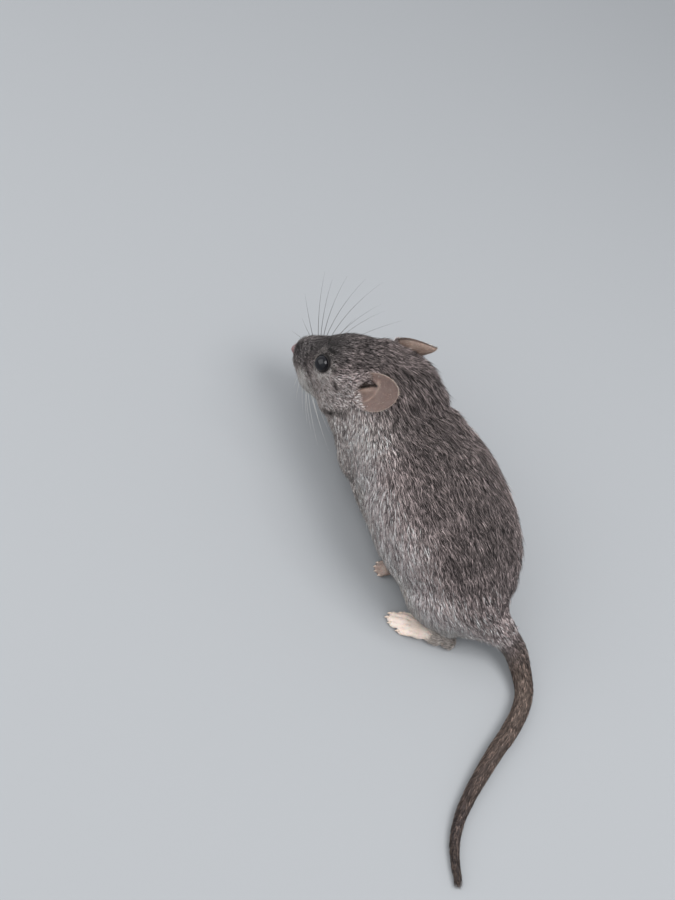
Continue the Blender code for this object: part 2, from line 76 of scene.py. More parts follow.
camera_data = bpy.data.cameras.new("camera")
camera_data.lens = CAMERA_LENS
camera_data.sensor_width = 36.0
camera_data.clip_start = 0.01
camera = bpy.data.objects.new("camera", camera_data)
bpy.context.scene.collection.objects.link(camera)
turned = Matrix((CAMERA_RIGHT, CAMERA_UP, CAMERA_BACK)).transposed().to_4x4()
camera.matrix_world = Matrix.Translation(CAMERA_PLACE * MM) @ turned
bpy.context.scene.camera = camera
print("camera height above the floor (mm):", round(CAMERA_PLACE.z))

# %% [markdown]
# ## Materials
# One small function adds a node to a material, with its settings and its links, so that each
# material below reads as a list of what it is made of. A number that is the same all over a surface
# is set on the shader itself.

# %% Node helper


def add(tree, kind, links=(), **settings):
    """A node with its properties and input values, and links as (input, from node, its output)."""
    made = tree.nodes.new(kind)
    for name, value in settings.items():
        if name in made.inputs:
            made.inputs[name].default_value = value
        elif name.startswith("input_"):
            made.inputs[int(name[6:])].default_value = value
        else:
            setattr(made, name, value)
    for socket, source, output in links:
        tree.links.new(source.outputs[output], made.inputs[socket])
    return made


def material(name, **shader_values):
    """An empty Principled material with those constants on its shader, and its node tree."""
    made = bpy.data.materials.new(name)
    made.use_nodes = True
    tree = made.node_tree
    shader = tree.nodes["Principled BSDF"]
    for socket, value in shader_values.items():
        shader.inputs[socket.replace("_", " ")].default_value = value
    return made, tree, shader


# %% [markdown]
# Fur is keratin: clear, hard and slightly oily. Its IOR is near 1.55, taken down to 1.5 here for
# hair that is dry and fine, and its gloss is soft and broad.
# A rat's hair is agouti: slate grey at its root, a paler band further up, and a darker tip. A
# picture of fur would lie flat, so each tuft carries its own tint as an attribute, and a second
# attribute that runs from 0 at the root to 1 at the tip, which the bands are drawn from.

# %% Fur material


def banded_fur(name):
    """Agouti hair: the tuft's own tint, darker at the root, palest three quarters of the way up."""
    made, tree, shader = material(name, Roughness=0.62, IOR=1.5, Specular_IOR_Level=0.28)
    tint = add(tree, "ShaderNodeAttribute", attribute_name="tint")
    along = add(tree, "ShaderNodeAttribute", attribute_name="along")
    bands = add(tree, "ShaderNodeValToRGB", [("Fac", along, "Fac")])
    stops = bands.color_ramp.elements
    stops[0].position, stops[0].color = 0.0, (0.24, 0.24, 0.25, 1)
    stops[1].position, stops[1].color = 1.0, (0.62, 0.61, 0.60, 1)
    for place, band in ((0.45, (0.72, 0.71, 0.71, 1)), (0.78, (1.0, 0.985, 0.96, 1))):
        stops.new(place).color = band
    add_tint = add(tree, "ShaderNodeMix", [(6, tint, "Color"), (7, bands, "Color")],
                   data_type="RGBA", blend_type="MULTIPLY", input_0=1.0)
    tree.links.new(add_tint.outputs[2], shader.inputs["Base Color"])
    return made


FUR = banded_fur("agouti fur keratin")

# %% [markdown]
# Skin is seen only between the tufts, on the ears, the feet, the nose and the tail. It is soft and
# a little translucent, with an IOR near 1.4. Its tint comes from the same attribute as the fur, so
# that both carry the same markings, and fine noise breaks it up: pores and creases some 0.35 to
# 0.6 mm apart, with blotches of blood six times as wide.

# %% Skin materials
BLOTCH_GRAINS = 6  # how many creases go to a blotch


def soft_skin(name, roughness, blood, grain_mm, bump_mm, subsurface=0.0):
    """Skin in the attribute's tint, mottled with a blood colour, with creases of that grain."""
    made, tree, shader = material(name, Roughness=roughness, IOR=1.4, Subsurface_Weight=subsurface,
                                  Subsurface_Scale=0.001)
    place = add(tree, "ShaderNodeTexCoord")
    tint = add(tree, "ShaderNodeAttribute", attribute_name="tint")
    blotch = add(tree, "ShaderNodeTexNoise", [("Vector", place, "Object")],
                 Scale=1 / (grain_mm * BLOTCH_GRAINS * MM), Detail=3.0)
    share = add(tree, "ShaderNodeMapRange", [("Value", blotch, "Fac")],
                input_1=0.35, input_2=0.75, input_3=0.0, input_4=0.55)
    mixed = add(tree, "ShaderNodeMix", [(0, share, "Result"), (6, tint, "Color")],
                data_type="RGBA", input_7=(*linear(blood), 1))
    tree.links.new(mixed.outputs[2], shader.inputs["Base Color"])
    grain = add(tree, "ShaderNodeTexNoise", [("Vector", place, "Object")],
                Scale=1 / (grain_mm * MM), Detail=4.0, Roughness=0.6)
    bump = add(tree, "ShaderNodeBump", [("Height", grain, "Fac")], Strength=0.6,
               Distance=bump_mm * MM)
    tree.links.new(bump.outputs["Normal"], shader.inputs["Normal"])
    return made


UNDERCOAT = soft_skin("undercoat and hide", 0.8, "#3c3634", 0.45, 0.25)
EAR_SKIN = soft_skin("thin ear skin", 0.55, "#5c463f", 0.35, 0.3, subsurface=0.1)
FOOT_SKIN = soft_skin("foot skin", 0.5, "#d2b6aa", 0.6, 0.2, subsurface=0.2)
PAW_SKIN = soft_skin("forepaw skin", 0.55, "#7a645a", 0.5, 0.2, subsurface=0.1)
NOSE_SKIN = soft_skin("moist nose leather", 0.32, "#9c6a66", 0.4, 0.15, subsurface=0.2)

# %% [markdown]
# A rat's tail wears rings of small scales, about one ring to each 0.85 mm, with short stiff hairs
# between them. The rings follow the tail's curve, which no straight pattern would, so they are drawn
# from an attribute that counts millimetres along it.

# %% Tail material
SCALE_RING = 0.85  # mm from one ring of scales to the next
RING_WOBBLE = 900.0  # bends to a metre, so each is about 1.1 mm
RING_DEPTH = 0.1  # mm


def ringed_skin(name):
    """Scaly tail skin with rings across it."""
    made, tree, shader = material(name, Roughness=0.7, IOR=1.45, Specular_IOR_Level=0.3)
    tint = add(tree, "ShaderNodeAttribute", attribute_name="tint")
    length = add(tree, "ShaderNodeAttribute", attribute_name="along")
    place = add(tree, "ShaderNodeTexCoord")
    wobble = add(tree, "ShaderNodeTexNoise", [("Vector", place, "Object")],
                 Scale=RING_WOBBLE, Detail=2.0)
    shifted = add(tree, "ShaderNodeMath", [(0, length, "Fac"), (1, wobble, "Fac")], operation="ADD")
    turns = add(tree, "ShaderNodeMath", [(0, shifted, 0)], operation="MULTIPLY",
                input_1=2 * math.pi / SCALE_RING)
    wave = add(tree, "ShaderNodeMath", [(0, turns, 0)], operation="SINE")
    shade = add(tree, "ShaderNodeMapRange", [("Value", wave, 0)],
                input_1=-1.0, input_2=1.0, input_3=0.86, input_4=1.08)
    tinted = add(tree, "ShaderNodeVectorMath", [(0, tint, "Color"), (3, shade, "Result")],
                 operation="SCALE")
    tree.links.new(tinted.outputs[0], shader.inputs["Base Color"])
    bump = add(tree, "ShaderNodeBump", [("Height", wave, 0)], Strength=0.6, Distance=RING_DEPTH * MM)
    tree.links.new(bump.outputs["Normal"], shader.inputs["Normal"])
    return made


TAIL_SKIN = ringed_skin("ringed tail scales")

# %% [markdown]
# The eye is nearly all pupil and dark iris behind a wet cornea: almost black, very smooth, with an
# IOR of 1.376. Claws are translucent horn, and whiskers are stiff, glossy hairs.

# %% Eye, claw and whisker materials


def plain_shaded(name, base, other, scale_mm, **shader_values):
    """A glossy material whose colour drifts a little between two tones."""
    made, tree, shader = material(name, **shader_values)
    place = add(tree, "ShaderNodeTexCoord")
    noise = add(tree, "ShaderNodeTexNoise", [("Vector", place, "Object")],
                Scale=1 / (scale_mm * MM))
    mixed = add(tree, "ShaderNodeMix", [(0, noise, "Fac")], data_type="RGBA",
                input_6=(*linear(base), 1), input_7=(*linear(other), 1))
    tree.links.new(mixed.outputs[2], shader.inputs["Base Color"])
    return made


EYE = plain_shaded("wet dark eye", "#08080a", "#101015", 3.0, Roughness=0.07, IOR=1.376)
CLAW = plain_shaded("claw horn", "#b79f8e", "#d8c8b8", 0.8, Roughness=0.3, IOR=1.54)
KERATIN = {"Roughness": 0.35, "IOR": 1.55}
DARK_WHISKER = plain_shaded("dark whisker keratin", "#1f1c1b", "#3a3533", 4.0, **KERATIN)
PALE_WHISKER = plain_shaded("pale whisker keratin", "#cfcac4", "#e9e6e1", 4.0, **KERATIN)

# %% [markdown]
# ## The head's own frame
# The solids' head is turned 29 degrees to the rat's left and bowed 37 degrees. The same frame, with
# columns forward, left and up, places everything on the head here, in millimetres from between the
# ears.

# %% Head frame
HEAD_CENTRE = Vector((-6.0, -75.92, 47.5))
HEAD_TURN = math.radians(29.0)
HEAD_BOW = math.radians(37.0)

level = Vector((math.sin(HEAD_TURN), -math.cos(HEAD_TURN), 0))
head_left = Vector((0, 0, 1)).cross(level)
head_forward = level * math.cos(HEAD_BOW) - Vector((0, 0, 1)) * math.sin(HEAD_BOW)
head_up = head_forward.cross(head_left)
HEAD_AXES = Matrix((head_forward, head_left, head_up)).transposed()
HEAD_ROWS = np.array(HEAD_AXES.transposed())


def on_head(forward, left, up):
    """A point of the head's frame, in millimetres, as a row of the shared frame."""
    return np.array(HEAD_CENTRE + HEAD_AXES @ Vector((forward, left, up)))


def in_head(points):
    """Points of the shared frame, in millimetres, as forward, left and up in the head's frame."""
    return (points - np.array(HEAD_CENTRE)) @ HEAD_ROWS.T


EYES = {1: on_head(22.0, 9.4, 5.6), -1: on_head(22.0, -9.2, 5.0)}
NOSE = on_head(42.8, -0.3, 3.3)
print("left eye at (mm):", EYES[1].round(1), "nose at (mm):", NOSE.round(1))

# %% [markdown]
# ## The hide: one skin under the coat
# The solids of the trunk, head and legs are parted by thin cuts, but a rat's skin is one piece. It
# could be sculpted anew, but the solids already have the right form. So copies of them are puffed out
# until they touch, remeshed into one skin, smoothed, and then drawn in by the depth of the coat,
# which is about 1.6 mm on the back and almost nothing round the eyes and on the muzzle.

# %% Body skin
FLESH = ["head", "neck", "chest", "belly", "rump", "thigh_left", "thigh_right", "foreleg_left",
         "foreleg_right"]
FEET = ["hindfoot_left", "hindfoot_right", "forefoot_left", "forefoot_right"]
PUFF = 0.22 * MM  # a little over half of a cut
SKIN_VOXEL = 1.0 * MM
SKIN_SMOOTHING = 14  # rounds, which take out the steps of the remesh


def new_object(name, mesh):
    """A mesh object in the scene, selected and active."""
    made = bpy.data.objects.new(name, mesh)
    bpy.context.scene.collection.objects.link(made)
    bpy.ops.object.select_all(action="DESELECT")
    made.select_set(True)
    bpy.context.view_layer.objects.active = made
    return made


def apply_modifier(thing, kind, **settings):
    """Adds one modifier with those settings and applies it, as by hand."""
    bpy.context.view_layer.objects.active = thing
    modifier = thing.modifiers.new(kind.lower(), kind)
    for name, value in settings.items():
        setattr(modifier, name, value)
    bpy.ops.object.modifier_apply(modifier=modifier.name)


def merged_copies(names):
    """One mesh with a merged, puffed-out copy of each named solid."""
    gathered = bmesh.new()
    for name in names:
        one = bmesh.new()
        one.from_mesh(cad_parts[name].data)
        bmesh.ops.remove_doubles(one, verts=one.verts, dist=0.001 * MM)
        one.normal_update()
        for vertex in one.verts:
            vertex.co += vertex.normal * PUFF
        mesh = bpy.data.meshes.new(name + "_copy")
        one.to_mesh(mesh)
        one.free()
        gathered.from_mesh(mesh)
        bpy.data.meshes.remove(mesh)
    mesh = bpy.data.meshes.new("flesh")
    gathered.to_mesh(mesh)
    gathered.free()
    return mesh


def coordinates(mesh, normals=False):
    """A mesh's points in millimetres, or its point normals, as an array."""
    found = np.empty(len(mesh.vertices) * 3, np.float32)
    if normals:
        mesh.vertex_normals.foreach_get("vector", found)
        return found.reshape(-1, 3).astype(float)
    mesh.vertices.foreach_get("co", found)
    return found.reshape(-1, 3).astype(float) / MM


def set_coordinates(mesh, points):
    """Moves a mesh's points to those, in millimetres."""
    mesh.vertices.foreach_set("co", (points * MM).astype(np.float32).ravel())
    mesh.update()


def rise(value, low, high):
    """Smoothly 0 below low and 1 above high."""
    t = np.clip((value - low) / (high - low), 0, 1)
    return t * t * (3 - 2 * t)


hide = new_object("hide", merged_copies(FLESH))
apply_modifier(hide, "REMESH", mode="VOXEL", voxel_size=SKIN_VOXEL, adaptivity=0)
apply_modifier(hide, "SMOOTH", factor=0.5, iterations=SKIN_SMOOTHING)
print("body skin triangles:", 2 * len(hide.data.polygons))

# %% [markdown]
# How deep the coat is, and where hair stops, depends on the distance to a few landmarks: the eyes,
# the nose, and the wrists and heels. One function gives the coat's depth for any point, and the
# tufts later take their length from it, so that they reach out to the solids' outline.

# %% Coat depth


def middle_of(name):
    """The middle of a solid's box, in millimetres."""
    low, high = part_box(name)
    return np.array((low + high) / 2) / MM


PAWS = {name: middle_of(name) for name in FEET}
TAIL_ROOT = np.array((-26.0, 46.0, 8.0))
NAPE = on_head(-24, -3, 2)
BROW = on_head(20, -7, 10)
COAT_LENGTH = 4.8  # mm, on the trunk
# on the head it is shorter: by how much, and from where to where along the head (mm)
HEAD_SHORTER = ((1.0, -16, 0), (1.3, -2, 20), (0.8, 20, 40))
# round these places too: its share of the full length there, and where it starts and ends to grow (mm)
SHORTER_ROUND = (
    *((spot, 0.28, *((9, 26) if name.startswith("hind") else (6, 22))) for name, spot in PAWS.items()),
    (TAIL_ROOT, 0.42, 4, 20), (on_head(3, 20.5, 0.5), 0.45, 2.5, 6.5), (on_head(-11, -3, 8), 0.55, 3, 8))
SHORTER_ROUND_EYES = (0.45, 3.6, 8.5)
LONGER_ROUND = ((BROW, 1.3, 4), (NAPE, 2.4, 11))  # place, how much longer, and how far round it (mm)


def distance_to(points, spot):
    """How far each point is from a spot."""
    return np.linalg.norm(points - spot, axis=1)


def nearness(points, spot, reach):
    """1 at a spot, fading smoothly to 0 past that reach."""
    return np.exp(-((distance_to(points, spot) / reach) ** 2))


def nearest_eye(points):
    """How far each point is from the middle of the nearer eye."""
    return np.minimum(distance_to(points, EYES[1]), distance_to(points, EYES[-1]))


def grown(gap, least, near, far):
    """The least share up to one distance, rising to all at another."""
    return least + (1 - least) * rise(gap, near, far)


def hair_length(points):
    """How long the coat is at each point, in millimetres."""
    forward = in_head(points)[:, 0]
    length = np.full(len(points), COAT_LENGTH)
    for less, start, end in HEAD_SHORTER:
        length -= less * rise(forward, start, end)
    length *= grown(nearest_eye(points), *SHORTER_ROUND_EYES)
    for spot, least, near, far in SHORTER_ROUND:
        length *= grown(distance_to(points, spot), least, near, far)
    for spot, more, reach in LONGER_ROUND:
        length += more * nearness(points, spot, reach)
    return length


# %% Draw the skin in
DEPTH_SHARE = 0.34  # how much of the hair's length the coat is deep, as it lies
DEEPEST = 1.65  # mm
HEAD_SHALLOWER = 0.25  # mm
ROUNDING = 0.1  # mm, what the last smoothing needs
MUZZLE_TOP = (on_head(39.5, -1, 4.5), 1.6, 6)  # place, how far up it is drawn, and how far round it (mm)
# where the hide stands out, or back: place, by how much, and how far round it (mm)
HIDE_SWELLS = (((-22, -49, 50), 2.3, 7), (on_head(-1.5, -2, 10.3), 1.9, 4.5),
               (on_head(-11.5, -2.5, 8.2), -2.6, 4), ((-23, -37, 54.5), -2.2, 8))


def coat_depth(points):
    """How far the skin lies inside the solids."""
    deep = np.minimum(DEPTH_SHARE * hair_length(points), DEEPEST)
    return deep - HEAD_SHALLOWER * rise(in_head(points)[:, 0], 0, 20)


points = coordinates(hide.data)
outward = coordinates(hide.data, normals=True)
points -= outward * (coat_depth(points)[:, None] + ROUNDING)
spot, lift, reach = MUZZLE_TOP
points += np.array(head_up) * (lift * nearness(points, spot, reach))[:, None]
for spot, swell, reach in HIDE_SWELLS:
    points += outward * (swell * nearness(points, spot, reach))[:, None]
set_coordinates(hide.data, points)
apply_modifier(hide, "SMOOTH", factor=0.5, iterations=4)
lengths = hair_length(points)
print("hair length (mm):", lengths.min().round(2), "to", lengths.max().round(2))

# %% [markdown]
# ## Tubes
# Toes, claws, tail and whiskers are all tapering tubes. A bevelled curve could make them, but it
# would not say how far along each point is. So one function sweeps a ring along a line of places,
# closes both ends with a point, and counts the millimetres along it.

# %% Tube helper
CURVE_STEPS = 24  # between two given rows
END_SHARE = 0.7  # how far a tube's end stands out, against its radius


def smooth_line(stops, count):
    """Evenly spaced rows on a smooth curve through rows of numbers that start with a place."""
    rows = np.array(stops, float)
    ends = np.vstack([2 * rows[0] - rows[1], rows, 2 * rows[-1] - rows[-2]])
    found = []
    for a, b, c, d in zip(ends, ends[1:], ends[2:], ends[3:]):
        for t in np.linspace(0, 1, CURVE_STEPS, endpoint=False):
            found.append(b + 0.5 * ((c - a) * t + (2 * a - 5 * b + 4 * c - d) * t**2
                                    + (3 * b - a - 3 * c + d) * t**3))
    found = np.array([*found, rows[-1]])
    steps = np.linalg.norm(np.diff(found[:, :3], axis=0), axis=1)
    travelled = np.concatenate([[0], np.cumsum(steps)])
    wanted = np.linspace(0, travelled[-1], count)
    return np.stack([np.interp(wanted, travelled, column) for column in found.T], 1)


def tube(rows, sides, floor=None):
    """Points and faces of a tube through rows of x, y, z and radius, and the way along, all in mm."""
    places, radii = rows[:, :3], rows[:, 3]
    tangents = np.gradient(places, axis=0)
    tangents /= np.linalg.norm(tangents, axis=1)[:, None]
    across = np.cross([0.05, 0.02, 1.0], tangents)
    across /= np.linalg.norm(across, axis=1)[:, None]
    upward = np.cross(tangents, across)
    turns = np.arange(sides) * 2 * np.pi / sides
    ring = (across[:, None] * np.cos(turns)[None, :, None]
            + upward[:, None] * np.sin(turns)[None, :, None])
    body = places[:, None] + ring * radii[:, None, None]
    ends = np.stack([places[0] - tangents[0] * radii[0] * END_SHARE,
                     places[-1] + tangents[-1] * radii[-1] * END_SHARE])
    made = np.concatenate([body.reshape(-1, 3), ends])
    if floor is not None:
        made[:, 2] = np.maximum(made[:, 2], floor)
    count = len(rows)
    faces = []
    for i in range(count - 1):
        for j in range(sides):
            k = (j + 1) % sides
            faces.append((i * sides + j, i * sides + k, (i + 1) * sides + k, (i + 1) * sides + j))
    for j in range(sides):
        k = (j + 1) % sides
        faces.append((count * sides, k, j))
        faces.append((count * sides + 1, (count - 1) * sides + j, (count - 1) * sides + k))
    steps = np.concatenate([[0], np.cumsum(np.linalg.norm(np.diff(places, axis=0), axis=1))])
    way = np.concatenate([np.repeat(steps, sides), [0, steps[-1]]])
    return made, faces, way


def mesh_of(name, points, faces):
    """A mesh from points in millimetres and faces, its faces turned outward."""
    mesh = bpy.data.meshes.new(name)
    corners = [tuple(int(i) for i in face) for face in faces]
    mesh.from_pydata((np.array(points) * MM).tolist(), [], corners)
    shape = bmesh.new()
    shape.from_mesh(mesh)
    bmesh.ops.recalc_face_normals(shape, faces=shape.faces)
    shape.to_mesh(mesh)
    shape.free()
    return mesh


def joined_mesh(name, parts):
    """One mesh from several (points, faces) shapes."""
    points, faces, start = [], [], 0
    for part in parts:
        points.append(part[0])
        faces += [tuple(start + i for i in face) for face in part[1]]
        start += len(part[0])
    return mesh_of(name, np.concatenate(points), faces)


def egg(centre, radii, steps=16):
    """Points and faces of an ellipsoid in millimetres."""
    shape = bmesh.new()
    bmesh.ops.create_uvsphere(shape, u_segments=steps, v_segments=steps * 2 // 3, radius=1)
    local = np.array([vertex.co for vertex in shape.verts])
    faces = [tuple(vertex.index for vertex in face.verts) for face in shape.faces]
    shape.free()
    return local * np.array(radii) + np.array(centre), faces


# %% [markdown]
# ## Feet
# A hind foot is long and narrow: five toes, the middle three longest and nearly side by side. A
# forepaw is a small hand with four short fingers. Extruding toes from a box would leave hard webs
# between them, so each foot is modelled as overlapping tubes and pads pointing along its own heel
# line, and remeshed into one smooth shape. The claws stay separate.

# %% Feet
# where the heel is (mm), which way the toes point (degrees), and -1 for a mirrored foot
HIND_STAND = {"hindfoot_left": ((-5.4, 30.58), 51, 1), "hindfoot_right": ((-26.4, 19.58), -14, -1)}
FORE_STAND = {"forefoot_left": ((2.8, -6.62), 68, 1), "forefoot_right": ((-24.4, -59.42), -8, -1)}
STANDS = {**HIND_STAND, **FORE_STAND}
# a toe: across the foot, where it starts along it, its length, radius (mm) and spread (degrees)
HIND_TOES = ((-4.5, 16.4, 7.0, 1.38, -5), (-2.9, 19.6, 8.2, 1.45, -3), (-1.1, 20.4, 8.2, 1.48, -1.5),
             (0.7, 19.6, 7.6, 1.45, 0), (2.5, 16.4, 7.0, 1.38, 2.5))
FORE_TOES = ((-2.3, 5.0, 2.4, 1.0, -10), (-0.8, 5.8, 2.8, 1.05, -3), (0.8, 5.8, 2.8, 1.05, 3),
             (2.3, 5.0, 2.4, 1.0, 10))
# a sole: rows of along, across, up and radius, and pads: along, across, up and three radii (mm)
HIND_SOLE = ((0.8, 0, 2.7, 2.5), (7, 0, 2.6, 2.7), (14, 0, 2.5, 2.8), (20, 0, 2.2, 2.3))
FORE_SOLE = ((-2.5, 0, 3.0, 2.4), (2, 0, 2.5, 2.2), (5.5, 0, 2.2, 2.0))
HIND_PADS = ((16.6, -1.1, 2.5, 5.8, 5.0, 2.5), (9, -0.3, 2.6, 7.2, 3.8, 2.7), (2.8, 0, 2.5, 3.4, 2.9, 2.5))
FORE_PADS = ((4.6, 0, 2.3, 3.0, 3.1, 2.3), (1, 0, 2.5, 2.8, 2.4, 2.3))
# along a toe and along a claw: share of its length, height and thickness against the toe's radius
TOE_ROWS = ((0, 2.1, 1.0), (0.3, 2.2, 0.95), (0.55, 1.5, 0.98), (0.8, 1.15, 0.88), (1.0, 0.95, 0.92))
KNUCKLE_ROW = 2
CLAW_ROWS = ((0, 1.3, 0.42), (0.45, 1.25, 0.34), (0.8, 0.85, 0.2), (1.0, 0.45, 0.06))
CLAW_START = 0.35  # how far past the toe's end, against its radius
HIND_KNUCKLE, HIND_CLAW = 0.1, 1.1  # how much higher the knuckle is, and how long the claw
FORE_KNUCKLE, FORE_CLAW = 0.45, 0.9
FOOT_VOXEL = 0.31 * MM
ON_FLOOR = 0.02  # mm, the lowest that a foot or the tail lies


def toe_parts(start, across, reach, radius, spread, knuckle, claw):
    """A toe's flesh as a tube with a low knuckle and a round end, and its claw as a hooked cone."""
    turn = math.radians(spread)
    heading = np.array([math.cos(turn), math.sin(turn), 0])
    stops = []
    for row, (share, height, thick) in enumerate(TOE_ROWS):
        spot = np.array([start, across, 0]) + heading * share * reach
        height += knuckle if row == KNUCKLE_ROW else 0
        stops.append((*spot[:2], height * radius, radius * thick))
    nail = []
    tip = np.array([start, across, 0]) + heading * (reach + CLAW_START * radius)
    for share, height, thick in CLAW_ROWS:
        spot = tip + heading * share * claw * radius
        nail.append((*spot[:2], height * radius, radius * thick))
    return tube(smooth_line(stops, 14), 14)[:2], tube(smooth_line(nail, 9), 8)[:2]


def foot_shapes(toes, sole, pads, knuckle, claw_reach):
    """The flesh and the claws of one foot, pointing along +X."""
    flesh = [tube(smooth_line(sole, 14), 18)[:2]]
    flesh += [egg(pad[:3], pad[3:]) for pad in pads]
    nails = []
    for across, start, reach, radius, spread in toes:
        toe, nail = toe_parts(start, across, reach, radius, spread, knuckle, claw_reach)
        flesh.append(toe)
        nails.append(nail)
        ball = (start + 0.92 * reach, across, 1.0 * radius)
        flesh.append(egg(ball, (1.35 * radius, radius, 0.95 * radius)))
    return flesh, nails


def stood(points, heel, turn, mirror):
    """A foot's points turned to its heading and moved to its heel, not under the floor."""
    heading = math.radians(turn) - math.pi / 2
    flipped = points * np.array([1, mirror, 1])
    x = flipped[:, 0] * math.cos(heading) - flipped[:, 1] * math.sin(heading) + heel[0]
    y = flipped[:, 0] * math.sin(heading) + flipped[:, 1] * math.cos(heading) + heel[1]
    return np.stack([x, y, np.maximum(flipped[:, 2], ON_FLOOR)], 1)


feet = []
claw_parts = []
for stand, kind in ((HIND_STAND, (HIND_TOES, HIND_SOLE, HIND_PADS, HIND_KNUCKLE, HIND_CLAW)),
                    (FORE_STAND, (FORE_TOES, FORE_SOLE, FORE_PADS, FORE_KNUCKLE, FORE_CLAW))):
    for name, (heel, turn, mirror) in stand.items():
        flesh, nails = foot_shapes(*kind)
        foot = new_object(name + "_skin", joined_mesh(name, flesh))
        apply_modifier(foot, "REMESH", mode="VOXEL", voxel_size=FOOT_VOXEL, adaptivity=0)
        apply_modifier(foot, "SMOOTH", factor=0.5, iterations=3)
        set_coordinates(foot.data, stood(coordinates(foot.data), heel, turn, mirror))
        if mirror < 0:
            foot.data.flip_normals()
        feet.append(foot)
        claw_parts += [(stood(nail[0], heel, turn, mirror), nail[1]) for nail in nails]
claws = new_object("claws", joined_mesh("claws", claw_parts))
claws.data.materials.append(CLAW)
claws.data.shade_smooth()
print("foot skin triangles:", [2 * len(foot.data.polygons) for foot in feet])

# %% [markdown]
# ## Tail
# The tail leaves the rump thick and furred, bends down to the floor and lies there in a long curve,
# tapering to the tip. Its four solids could be remeshed like the body, but the rings of scales need
# the way along it. So it is one tube on the same line as the solids, a hair's breadth thinner.

# %% Tail
ROW_SHIFT = np.array((-9.4, 10.58, 0.0))  # from the tail's own origin to the shared frame, in mm
# x, y, z and radius (mm)
TAIL_STOPS = ((-7, 19, 18, 4.6), (-12, 25.5, 13.6, 4.8), (-16.5, 32.5, 9, 4.6), (-17, 41, 5.4, 4.0),
              (-14.5, 49, 3.6, 3.6), (-8.5, 55, 3.35, 3.4), (1, 60.5, 3.25, 3.3), (10, 64.5, 3.05, 3.1),
              (20, 69.5, 2.8, 2.85), (29, 74.5, 2.45, 2.5), (36.5, 79.5, 2.1, 2.15), (42.5, 85.5, 1.8, 1.85),
              (46, 91.5, 1.55, 1.6), (48.5, 98, 1.3, 1.35))
TAIL_SLIM = 0.12  # room for its short hairs, in mm

tail_stops = [(*(np.array(stop[:3]) + ROW_SHIFT), stop[3] - TAIL_SLIM) for stop in TAIL_STOPS]
tail_rows = smooth_line(tail_stops, 170)
tail_points, tail_faces, tail_rings = tube(tail_rows, 22, floor=ON_FLOOR)
tail = new_object("tail_skin", mesh_of("tail", tail_points, tail_faces))
print("tail length (mm):", round(tail_rings.max()), "points:", len(tail_points))

# %% [markdown]
# ## Ears
# A rat's ear is a thin, nearly round leaf, cupped outward and rolled to a funnel where it leaves the
# head. The left one shows its inside: a dark way in, a round lobe below it, and a thin ridge behind
# it. The right one stands on edge and droops a little at its tip. A sculpted ear would be hard to
# keep thin, so a grid is bent to that shape by a few sizes, given its thickness with Solidify and
# rounded with Subdivision Surface.

# %% Ear sizes
# in mm and degrees; where there are two, 1 is the left ear and -1 the right
EAR_HEIGHT = 21.8
EAR_WIDTH = 17.6
EAR_HALVES = {1: (0.84, 1.0), -1: (1.04, 0.62)}  # how wide the upper and the lower half are
EAR_ROUND = {1: (0.14, 0.5), -1: (0.18, 0.6)}  # how full the leaf is at its root, and how blunt
EAR_THICKNESS = 0.42
EAR_SPOT = {1: (2.1, 19.8, 3.2), -1: (0.8, -16.9, 0.5)}  # the root, in the head's frame
EAR_FACING = {1: 36, -1: 29}
EAR_SPREAD = 9
EAR_RISE = {1: 2, -1: 25}
EAR_CURL = {1: 42, -1: 142}
EAR_FUNNEL = {1: 150, -1: 80}  # how much more it curls at its root
EAR_LEAN = {1: 3.2, -1: -2.8}
EAR_DROOP = {1: 0.0, -1: 2.6}
EAR_RIM = 0.3  # how far the rim turns in
EAR_STEPS, EAR_SIDES = 44, 36
OPENING_END = 0.5  # how far up the leaf the way in reaches
LOBE_OUT, RIDGE_OUT, FOLD_OUT, OPENING_DEPTH = 0.9, 0.4, 0.8, 1.9


def turn_about(axis, degrees):
    """A rotation matrix as an array."""
    return np.array(Matrix.Rotation(math.radians(degrees), 3, axis))


def ear_axes(side):
    """Columns of the ear's own axes in the shared frame: towards the head, outward and up."""
    own = turn_about("Z", side * EAR_SPREAD) @ turn_about("Y", EAR_RISE[side])
    return np.array(HEAD_AXES) @ own @ turn_about("X", side * EAR_FACING[side])


# %% [markdown]
# The folds are hills and hollows on the leaf, placed by how far up it they are, from 0 at the root
# to 1 at the tip, and how far across, from -1 at the lower edge to 1 at the upper. The same functions
# place their tints later.

# %% Folds of the left ear


def hill(value, middle, reach):
    """1 at the middle, fading smoothly to 0 past that reach."""
    return math.exp(-(((value - middle) / reach) ** 2))


def step(value, low, high):
    """Rise for one number."""
    return float(rise(np.array(value), low, high))


def opening_edges(share):
    """The lower and upper edge of the dark way into the ear, across the leaf at that share."""
    along_opening = min(max(share / OPENING_END, 0.0), 1.0)
    arch = math.sin(math.pi * (0.16 + 0.84 * along_opening)) ** 0.8
    low = 0.02 + 0.2 * along_opening + 0.06 * math.sin(math.pi * along_opening)
    return low, low + 0.5 * arch


def inside_opening(share, across):
    """1 in the way into the ear, 0 outside it, with a soft edge."""
    if share > OPENING_END + 0.02:
        return 0.0
    low, high = opening_edges(share)
    return step(across, low - 0.04, low + 0.04) * (1 - step(across, high - 0.05, high + 0.04))


def ear_lobe(share, across):
    """1 on the round lobe below the way in."""
    return hill(share, 0.22, 0.2) * hill(across, opening_edges(min(share, OPENING_END))[0] - 0.19, 0.14)


def ear_ridge(share, across):
    """1 on the thin ridge that rises from behind the way in and curves down to the ear's root."""
    middle = 0.54 - 0.45 * max(0.2 - across, 0) ** 1.6
    return hill(share, middle, 0.035) * step(across, -0.7, -0.5) * (1 - step(across, 0.5, 0.7))


